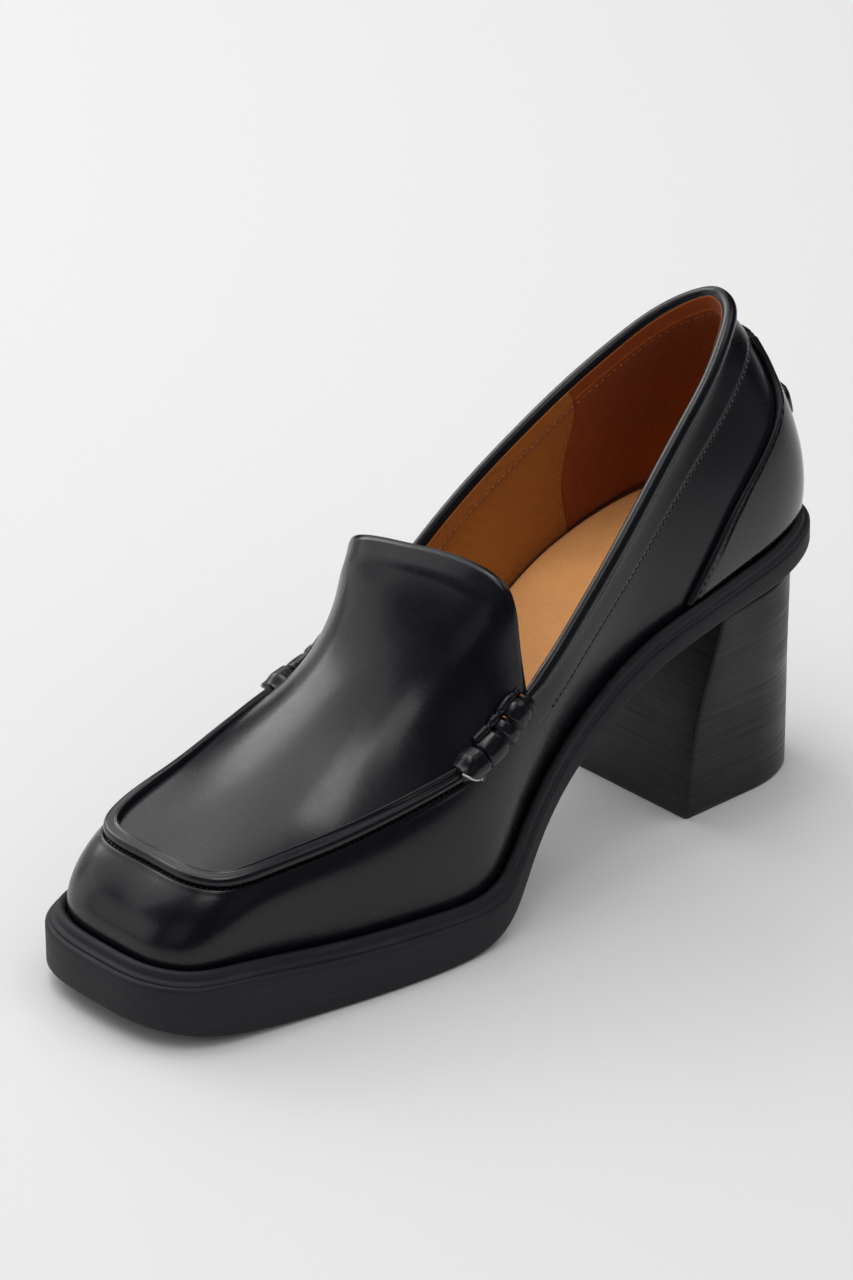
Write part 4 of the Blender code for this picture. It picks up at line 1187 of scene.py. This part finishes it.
class LOAFER_OT_saddles(bpy.types.Operator):
    """Build the two rolled saddles with their cushions, thread loops and cut leather ends"""

    bl_idname = "loafer.saddles"
    bl_label = "Saddles"

    def execute(self, context):
        for name, wall, side, slot, node in (
            ("saddle_outer", LATERAL_WALL, 1, "saddle_leather", "saddle_lateral"),
            ("saddle_inner", MEDIAL_WALL, -1, "saddle_leather_inner", "saddle_medial"),
        ):
            guide = saddle_frame(wall, side) + (sizes().saddle_radius * SADDLE_FULLNESS, slot)
            self.cushions(name, *guide, node)
            self.side_roll(name + "_side_roll", *guide)
            self.cap(name + "_cap", *guide, wall, side)
            self.ties(name, *guide)
        return {"FINISHED"}

    def cushions(self, name, line, across, out, share, radius, slot, node):
        """The main roll: three cushions pinched by the ties and a smooth knob at the throat."""
        # The roll's size as a share of the radius: swollen between the ties, slimmer at the front and at the throat
        pinch = sum(hump(share, tie, 0.035) for tie in SADDLE_TIES)
        ends = np.r_[0.0, SADDLE_TIES, 1.0]
        swell = np.zeros(len(share))
        for low, high in zip(ends[:-1], ends[1:]):
            inside = (share >= low) & (share <= high)
            t = (share[inside] - low) / (high - low)
            swell[inside] = 0.86 + 0.17 * np.sin(math.pi * t) ** 0.4
        size = radius * (swell - 0.16 * pinch)
        size *= 0.62 + 0.38 * ease(share, 0.0, 0.20)
        size *= 1.0 - 0.30 * ease(share, 0.90, 1.0)
        angles = np.linspace(math.radians(-30), math.radians(210), 30)
        # A slightly flat arch on a foot that is hidden in the seam
        arch = np.column_stack([np.cos(angles), 0.96 * np.sin(angles)])
        section = np.vstack([arch, [(-0.6, -0.6), (0.6, -0.6)]])
        sweep(name, line, across, out, size[:, None, None] * section, ["glazed_trim_calf"], (node,))

    def side_roll(self, name, line, across, out, share, radius, slot):
        """The thinner roll beside the cushions, on the tongue's side."""
        keep = (share > 0.32) & (share < 0.95)
        pinch = sum(hump(share, tie, 0.045) for tie in SADDLE_TIES)[keep]
        size = 1.35 * MM * (1.0 - 0.35 * pinch) * (0.55 + 0.45 * hump(share[keep], 0.60, 0.36) ** 0.3)
        middle = line[keep] - across[keep] * (radius + 0.55 * MM) + out[keep] * 0.1 * MM
        sweep(name, middle, across[keep], out[keep], size[:, None, None] * round_section(1.0, 14), ["glazed_trim_calf"])

    def ties(self, name, line, across, out, share, radius, slot):
        """Waxed thread loops in the pinches, with bare thread ends on the tongue's side."""
        reach = radius * 0.72 + 0.16 * MM
        arc = np.radians(np.linspace(-6, 192, 26))[:, None]
        dive = 1.0 - 0.60 * ease(np.abs(arc - math.pi / 2), math.radians(80), math.radians(112))
        for number, tie in enumerate(SADDLE_TIES):
            k = int(np.argmin(np.abs(share - tie)))
            ahead = unit(line[k + 1] - line[k - 1])
            for strand, letter in ((-0.24, "a"), (0.24, "b")):
                centre = line[k] + ahead * strand * MM
                loop = centre + reach * dive * (across[k] * np.cos(arc) + 0.97 * out[k] * np.sin(arc))
                away = unit(loop - centre)
                level = unit(np.cross(unit(np.gradient(loop, axis=0)), away))
                sweep(f"{name}_tie_{number + 1}{letter}", loop, level, away, round_section(0.22 * MM, 8),
                      ["waxed_black_thread"])
            if number >= 2:
                foot = line[k] - across[k] * (radius * 0.92) + out[k] * radius * 0.42
                path = foot + np.outer((-0.8 * MM, 0.6 * MM), out[k])
                stitches(f"{name}_thread_end_{number}", path, np.array([-across[k]] * 2), "bare_linen_thread", slot,
                         pitch=1.4 * MM, length=1.3 * MM, radius=0.24 * MM)

    def cap(self, name, line, across, out, share, radius, slot, wall, side):
        """The front wrap of the saddle: it swells out of the wall, and its cut front edge shows the pale core."""
        ribs = np.arange(THROAT - SADDLE_RIBS, THROAT + 1)
        index = ribs if side > 0 else 2 * LAST - ribs
        shares = np.linspace(SADDLE_START, 1.0, len(line))
        where = lengths(wall[ribs, -1])
        tracks = []
        # Up the wall beside the roll: distance below the seam and height off the wall in mm
        for drop, lift in ((5.6, 0.10), (3.5, 1.15)):
            track, _ = wall_path(index, drop * MM, lift * MM)
            tracks.append(np.column_stack([np.interp(shares, where, track[:, i]) for i in range(3)]))
        # Over the roll from the wall's side to the vamp's: sideways and outward as shares of the radius
        crown = ((0.80, 0.42), (0.45, 0.84), (0.0, 0.96), (-0.48, 0.84), (-0.86, 0.42), (-1.00, -0.35))
        tracks += [line + radius * (across * a + out * b) for a, b in crown]
        knots = np.linspace(0.0, 1.0, len(tracks))
        first = CUT_EDGE_SHARE * (1.0 - ease(knots, 0.05, 0.58))
        count, length = 44, 18
        columns, rows = np.linspace(0.0, 1.0, count), np.linspace(0.0, 1.0, length)
        grid = []
        for t in rows:
            places = first + (SADDLE_TIES[0] - 0.01 - first) * t
            spine = [[np.interp(place, share, track[:, i]) for i in range(3)] for place, track in zip(places, tracks)]
            grid.append(spline(knots, spine, columns))
        grid = np.array(grid)
        # The front corner on the vamp's side sinks into the apron roll
        sink = ease(columns, 0.42, 0.70) * (1.0 - ease(rows, 0.0, 0.55))[:, None]
        normals = grid_normals(grid)
        turned = np.mean(np.sum(normals[:, count // 2] * out[len(out) // 8], axis=1)) < 0
        grid += normals * sink[..., None] * (1.5 * MM if turned else -1.5 * MM)
        above = np.tile((0.50 - 0.25 * ease(columns, 0.60, 0.90)) * MM, length)
        patch(name, grid, above, 0.75 * MM, ["glazed_trim_calf"], slot, turned=turned)
        edge = grid[0, 1:26]
        facing = grid_normals(grid)[0, 1:26]
        facing = facing * np.sign(np.sum(facing[12] * out[0]))
        back = unit(np.cross(unit(np.gradient(edge, axis=0)), facing))
        back = back * np.sign(np.sum(back[12] * (line[4] - line[0])))
        taper = 0.35 + 0.65 * np.sin(math.pi * np.linspace(0.12, 0.95, len(edge)))
        oval = round_section(1.0, 8) * np.array([0.62, 0.36]) * MM
        sweep(name + "_cut_edge", edge + facing * 0.12 * MM - back * 0.22 * MM, facing, back,
              taper[:, None, None] * oval, ["cut_leather_fibre"])


def collar_frame():
    """The middle line of the rolled collar edge, with its outward and upward vectors."""
    ribs = np.arange(THROAT - 3, 2 * LAST - THROAT + 4)
    near = np.minimum(ribs, 2 * LAST - ribs)
    ramp = collar_ramp(near)
    top = WALL[ribs, -1]
    line = top + upright(top) * (ramp * (sizes().binding_radius + GAP + 0.1 * MM))[:, None]
    ahead = unit(np.gradient(line, axis=0))
    across = unit(np.cross(ahead, (0.0, 0.0, 1.0)))
    return ribs, line, across, unit(np.cross(across, ahead)), 0.45 + 0.55 * ramp


class LOAFER_OT_collar(bpy.types.Operator):
    """Build the collar facing: a leather strip rolled over the top edge and stitched down outside"""

    bl_idname = "loafer.collar"
    bl_label = "Collar"

    def execute(self, context):
        radius = sizes().binding_radius
        width = sizes().strip_width
        ribs, line, across, out, share = collar_frame()
        size = radius * share[:, None, None]
        turned = lambda angles: across[:, None] * np.cos(angles)[:, None] + out[:, None] * np.sin(angles)[:, None]
        roll = line[:, None] + size * turned(np.radians(np.linspace(222, -38, 26)))
        # The strip from the roll down: share of its width, height off the quarter in mm
        shares = np.r_[0.0, 0.08, 0.17, 0.27, 0.38, 0.50, 0.62, 0.76, 0.88, 0.915, 0.94, 0.965, 0.985, 1.0, 1.012]
        drops = shares * width
        lift = np.interp(shares, (0.0, 0.08, 0.17, 0.27, 0.38, 0.60, 0.88, 0.925, 0.95, 0.985, 1.0, 1.012),
                         (0.98, 0.80, 0.66, 0.56, 0.50, 0.46, 0.46, 0.22, 0.40, 0.42, 0.30, 0.05)) * MM
        fade = ease(np.minimum(ribs, 2 * LAST - ribs), THROAT - 3, THROAT + 14)
        strip = []
        for rib, part in zip(ribs, fade):
            start = ease(min(rib, 2 * LAST - rib), THROAT - 3, THROAT + 1)
            flat = lift * (0.25 + 0.75 * part) * start - 0.12 * MM * (1.0 - start)
            strip.append(wall_path(np.full(len(drops), rib), drops, flat[:, None])[0])
        grid = np.concatenate([roll, np.array(strip)], axis=1)
        patch("collar_facing", grid, 0.0, 0.32 * MM, ["glazed_trim_calf"], "binding_leather", ("collar_binding",))
        path, path_out = wall_path(ribs[9:-9], 0.925 * width, 0.27 * MM)
        stitches("collar_stitching", path, path_out, "charcoal_bonded_thread", "binding_leather", pitch=1.9 * MM,
                 length=1.45 * MM, radius=sizes().thread_radius)
        rolled = line[:, None] + (size + 0.12 * MM) * turned(np.radians([180, 196, 212]))
        drops = np.array([0.4, 1.2, 2.4, 3.7]) * MM
        inside = [wall_path(np.full(len(drops), rib), drops, -sizes().leather - 0.22 * MM)[0] for rib in ribs]
        grid = np.concatenate([rolled, np.array(inside)], axis=1)
        behind = (ribs > rib_at(GRIP_START, 1)) & (ribs < rib_at(GRIP_START, -1))
        patch("lining_turn_in", grid, 0.05 * MM, 0.15 * MM, ["pigskin_lining", "napped_heel_grip"], "insole_leather",
              marks=np.repeat(behind[:-1], grid.shape[1] - 1).astype(int), turned=False)
        return {"FINISHED"}


def from_edges(grid):
    """Distance of each point of a grid from the nearer end of its row."""
    run = row_runs(grid)
    return np.minimum(run, run[:, -1:] - run)


def back_patch(heights, place, columns):
    """Points of the wall across the back: a row for each height, outer side to inner side."""
    points = []
    for height in heights:
        start, end = (rib_at(place(height), side) for side in (1, -1))
        points.append(on_wall(WALL, start + (end - start) * columns, np.full(len(columns), height)))
    return np.array(points)


def edge_columns(fine, count, close=0.06):
    """Shares across a patch, close together near both ends."""
    near = np.linspace(0.0, close, fine)
    return np.r_[near, np.linspace(close, 1.0 - close, count)[1:-1], 1.0 - near[::-1]]


class LOAFER_OT_counter(bpy.types.Operator):
    """Build the back counter with its rolled front edge and the small tab behind it"""

    bl_idname = "loafer.counter"
    bl_label = "Counter and tab"

    def execute(self, context):
        seam = lambda height: column(COUNTER_SEAM, 1, height)[0]
        heights = np.r_[np.linspace(COUNTER_SEAM[0][0], 0.80, 40), np.linspace(0.80, COUNTER_SEAM[-1][0], 8)[1:]]
        columns = edge_columns(16, 90, 0.10)
        grid = back_patch(heights, seam, columns)
        near = from_edges(grid)
        band = sizes().counter_band
        thick = sizes().counter_thickness
        # A rounded rim, a fine ridge beside it, the stitched trough and the slightly sunk skived band
        rise = COUNTER_STAND + thick * (0.15 + 0.85 * np.sqrt(np.clip(near / (0.5 * MM), 0.0, 1.0)))
        rise += 0.22 * MM * hump(near, 0.65 * MM, 0.6 * MM)
        rise -= 0.55 * MM * hump(near, band, 0.8 * MM)
        rise -= 0.12 * MM * hump(near, band * 0.5, band * 0.4)
        top = ease(heights, COUNTER_SEAM[-1][0] - 0.03, COUNTER_SEAM[-1][0])[:, None]
        rise = rise * (1 - top) + (0.4 * MM) * top
        corners = np.array(grid_faces(*near.shape))
        skived = near.reshape(-1)[corners].mean(axis=1) < band * 0.96
        patch("back_counter", grid, rise, -0.15 * MM, ["high_glaze_box_calf", "skived_edge_calf"], "counter_leather",
              ("counter",), marks=skived.astype(int))
        for side, name in ((1, "outer"), (-1, "inner")):
            level = heights[1:-4]
            ribs = []
            for height in level:
                trail = rib_at(seam(height), side) + side * np.arange(0, 30) * 0.5
                ribs.append(np.interp(band, run_length(on_wall(WALL, trail, np.full(30, height))), trail))
            path, out = on_wall(WALL, ribs, level), unit(on_wall(WALL_OUT, ribs, level))
            stitches(f"counter_stitching_{name}", path + out * (COUNTER_STAND + thick - 0.45 * MM), out,
                     "waxed_black_thread", "counter_leather", pitch=sizes().seam_pitch, length=1.8 * MM,
                     radius=sizes().thread_radius)
        middle = 0.5 * (TAB_FOOT + TAB_HEAD)
        half = 0.5 * (TAB_HEAD - TAB_FOOT)
        flank = lambda height: 1.0 - TAB_HALF * (1.0 - 0.25 * (abs(height - middle) / half)**4)
        rows = TAB_FOOT + (TAB_HEAD - TAB_FOOT) * edge_columns(6, 14, 0.14)
        across = edge_columns(6, 20, 0.10)
        tab = back_patch(rows, flank, across)
        near = np.minimum(from_edges(tab), from_edges(tab[None, :, 20]).T)
        base = COUNTER_STAND + thick
        lift = base + sizes().tab_thickness * (0.35 + 0.65 * np.sqrt(np.clip(near / (1.1 * MM), 0.0, 1.0)))
        lift -= 0.45 * MM * hump(near, 2.2 * MM, 0.6 * MM)
        patch("heel_tab", tab, lift, -base, ["glazed_trim_calf"], "tab_leather", ("back_tab",))
        return {"FINISHED"}


class LOAFER_OT_inside(bpy.types.Operator):
    """Build the insole, the napped heel grip and the lining seams"""

    bl_idname = "loafer.inside"
    bl_label = "Inside"

    def execute(self, context):
        clear = sizes().leather + 0.7 * MM
        thick = sizes().insole_thickness
        # The padded edge from the deck up: inset in mm, share of the thickness
        profile = (
            (0.45, 0.0), (0.50, 0.30), (0.70, 0.58), (1.05, 0.80), (1.7, 0.93), (2.9, 0.99), (5.5, 1.0), (12.0, 1.0),
        )
        rings = [ring_at(lambda along: foot_inset(along) + clear + inset * MM,
                         lambda along: deck(along) + GAP + share * thick) for inset, share in profile]
        loft("insole_sock", rings, "tan_insole_calf", ("insole",))
        heights = np.linspace(0.035, 0.995, 42)
        edge = lambda height: column(GRIP_SEAM, 1, height)[0]
        columns = edge_columns(6, 90, 0.02)
        grid = back_patch(heights, edge, columns)
        near = from_edges(grid)
        depth = sizes().leather + 0.15 * MM + 0.35 * MM * ease(near, 0.0, 0.8 * MM)
        patch("heel_grip", grid, -sizes().leather + 0.05 * MM, depth, ["napped_heel_grip"], "insole_leather")
        ribs = np.arange(THROAT + 6, 2 * LAST - THROAT - 5)
        path, out = wall_path(ribs, 2.6 * MM, -sizes().leather - 0.42 * MM)
        tan = dict(look="waxed_tan_thread", slot="insole_leather", radius=0.13 * MM)
        stitches("lining_stitching", path, -out, pitch=2.2 * MM, length=1.3 * MM, **tan)
        for side, name in ((1, "outer"), (-1, "inner")):
            rib = np.array([rib_at(edge(h), side) for h in heights]) - side * 1.3
            path = on_wall(WALL, rib, heights)
            out = unit(on_wall(WALL_OUT, rib, heights))
            stitches(f"grip_stitching_{name}", path - out * (sizes().leather + 0.06 * MM), -out, pitch=2.4 * MM,
                     length=1.4 * MM, **tan)
        return {"FINISHED"}


def aim(azimuth, elevation, distance, focal, pixel, roll, target):
    """Place and turning of a camera that looks from an angle and puts the target at a pixel of the photo."""
    a, e = math.radians(azimuth), math.radians(elevation)
    back = Vector((math.sin(a) * math.cos(e), -math.cos(a) * math.cos(e), math.sin(e)))
    right = Vector((0.0, 0.0, 1.0)).cross(back).normalized()
    up = back.cross(right)
    turn = Matrix((right, up, back))
    side, rise = (pixel[0] - PHOTO_WIDTH / 2) / focal, (PHOTO_HEIGHT / 2 - pixel[1]) / focal
    yaw = math.atan2(side, 1.0)
    pitch = math.atan2(rise, math.hypot(side, 1.0))
    swing = Matrix(((math.cos(yaw), 0, -math.sin(yaw)), (0, 1, 0), (math.sin(yaw), 0, math.cos(yaw))))
    tip = Matrix(((1, 0, 0), (0, math.cos(pitch), -math.sin(pitch)), (0, math.sin(pitch), math.cos(pitch))))
    r = math.radians(roll)
    tilt = Matrix(((math.cos(r), -math.sin(r), 0), (math.sin(r), math.cos(r), 0), (0, 0, 1)))
    turn = tilt @ swing @ tip @ turn
    matrix = turn.transposed().to_4x4()
    matrix.translation = Vector(target) + back * distance
    return matrix


# Soft lights: bearing from the heel toward the outer side, height in degrees, size in metres, watts, seen in gloss.
STUDIO_LAMPS = (
    ("window_low", -90, 12, 0.8, 1.3, True),
    ("window_middle", -90, 32, 0.8, 8.6, True),
    ("window_high", -80, 54, 0.8, 3.2, True),
    ("window_back", -55, 30, 0.9, 3.4, True),
    ("front_left_low", -118, 10, 0.8, 2.3, True),
    ("front_left_middle", -118, 32, 0.8, 2.0, True),
    ("front_left_high", -120, 56, 0.9, 2.5, True),
    ("toe_card", -146, 14, 0.8, 1.9, True),
    ("overhead_softbox", -90, 78, 0.6, 6.4, True),
    ("overhead_front", 170, 72, 0.8, 4.2, True),
    ("front_card", 172, 25, 0.9, 0.75, True),
    ("right_back_card", 42, 12, 0.8, 0.36, True),
    ("right_card", 95, 30, 1.0, 0.38, True),
    ("overhead_back", 20, 60, 1.0, 3.6, True),
    ("ceiling_scrim", 85, 62, 3.4, 21.0, False),
)


# Metres: from the shoe to the lamps and to the scrim, and half the floor's width
LAMP_DISTANCE = 1.9
SCRIM_DISTANCE = 2.2
FLOOR_REACH = 6.0


class LOAFER_OT_stage(bpy.types.Operator):
    """Build the pale floor, the soft lights and the camera"""

    bl_idname = "loafer.stage"
    bl_label = "Studio"

    def execute(self, context):
        data = bpy.data.meshes.new("studio_floor")
        corners = ((-1, -1), (1, -1), (1, 1), (-1, 1))
        data.from_pydata([(FLOOR_REACH * x, FLOOR_REACH * y, 0) for x, y in corners], [], [(0, 1, 2, 3)])
        data.materials.append(finish("seamless_paper"))
        floor = bpy.data.objects.new("studio_floor", data)
        context.scene.collection.objects.link(floor)
        for name, bearing, height, size, power, mirrored in STUDIO_LAMPS:
            around, above = math.radians(bearing), math.radians(height)
            toward = Vector((math.sin(around) * math.cos(above), math.cos(around) * math.cos(above), math.sin(above)))
            light = bpy.data.lights.new(name, "AREA")
            light.shape = "SQUARE"
            light.size = size
            light.energy = power
            made = bpy.data.objects.new(name, light)
            made.location = toward * (LAMP_DISTANCE if mirrored else SCRIM_DISTANCE) + Vector((0.0, 0.0, 0.05))
            made.rotation_euler = (-toward).to_track_quat("-Z", "Y").to_euler()
            made.visible_glossy = mirrored
            context.scene.collection.objects.link(made)
        world = bpy.data.worlds.new("studio_air")
        world.use_nodes = True
        plug(world.node_tree, world.node_tree.nodes["Background"], {"Color": linear("#e4e5e7"), "Strength": 0.52})
        world.cycles_visibility.glossy = False
        context.scene.world = world
        context.scene.view_settings.view_transform = "Standard"
        lens = bpy.data.cameras.new("photo_camera")
        lens.sensor_width = 36.0
        lens.lens = lens.sensor_width * FOCAL / PHOTO_HEIGHT
        lens.clip_start = 0.05
        lens.clip_end = 50.0
        camera = bpy.data.objects.new("photo_camera", lens)
        context.scene.collection.objects.link(camera)
        camera.matrix_world = aim(azimuth=48.04, elevation=28.17, distance=1.7813, focal=FOCAL, pixel=(437.24, 737.09),
                                  roll=0.522, target=(-MIDDLE, 0.0, 0.04))
        context.scene.camera = camera
        return {"FINISHED"}


STEPS = (
    LOAFER_OT_stage, LOAFER_OT_sole, LOAFER_OT_heel, LOAFER_OT_upper, LOAFER_OT_apron, LOAFER_OT_saddles,
    LOAFER_OT_collar, LOAFER_OT_counter, LOAFER_OT_inside,
)


class LOAFER_PT_pieces(bpy.types.Panel):
    """Lists the shoe's settings and the steps that build it"""

    bl_idname = "LOAFER_PT_pieces"
    bl_label = "Loafer pump"
    bl_space_type = "VIEW_3D"
    bl_region_type = "UI"
    bl_category = "Loafer pump"

    def draw(self, context):
        for group in (context.scene.loafer_pump_sizes, context.scene.loafer_pump_colours):
            box = self.layout.box()
            for name in group.bl_rna.properties.keys():
                if name not in ("rna_type", "name"):
                    box.prop(group, name)
        for step in STEPS:
            self.layout.operator(step.bl_idname)


CLASSES = (LoaferPumpSizes, LoaferPumpColours) + STEPS + (LOAFER_PT_pieces,)


def register():
    for item in CLASSES:
        bpy.utils.register_class(item)
    bpy.types.Scene.loafer_pump_sizes = bpy.props.PointerProperty(type=LoaferPumpSizes)
    bpy.types.Scene.loafer_pump_colours = bpy.props.PointerProperty(type=LoaferPumpColours)


def unregister():
    del bpy.types.Scene.loafer_pump_sizes
    del bpy.types.Scene.loafer_pump_colours
    for item in reversed(CLASSES):
        bpy.utils.unregister_class(item)


def main():
    register()
    for step in STEPS:
        group, name = step.bl_idname.split(".")
        getattr(getattr(bpy.ops, group), name)()


if __name__ == "__main__":
    main()
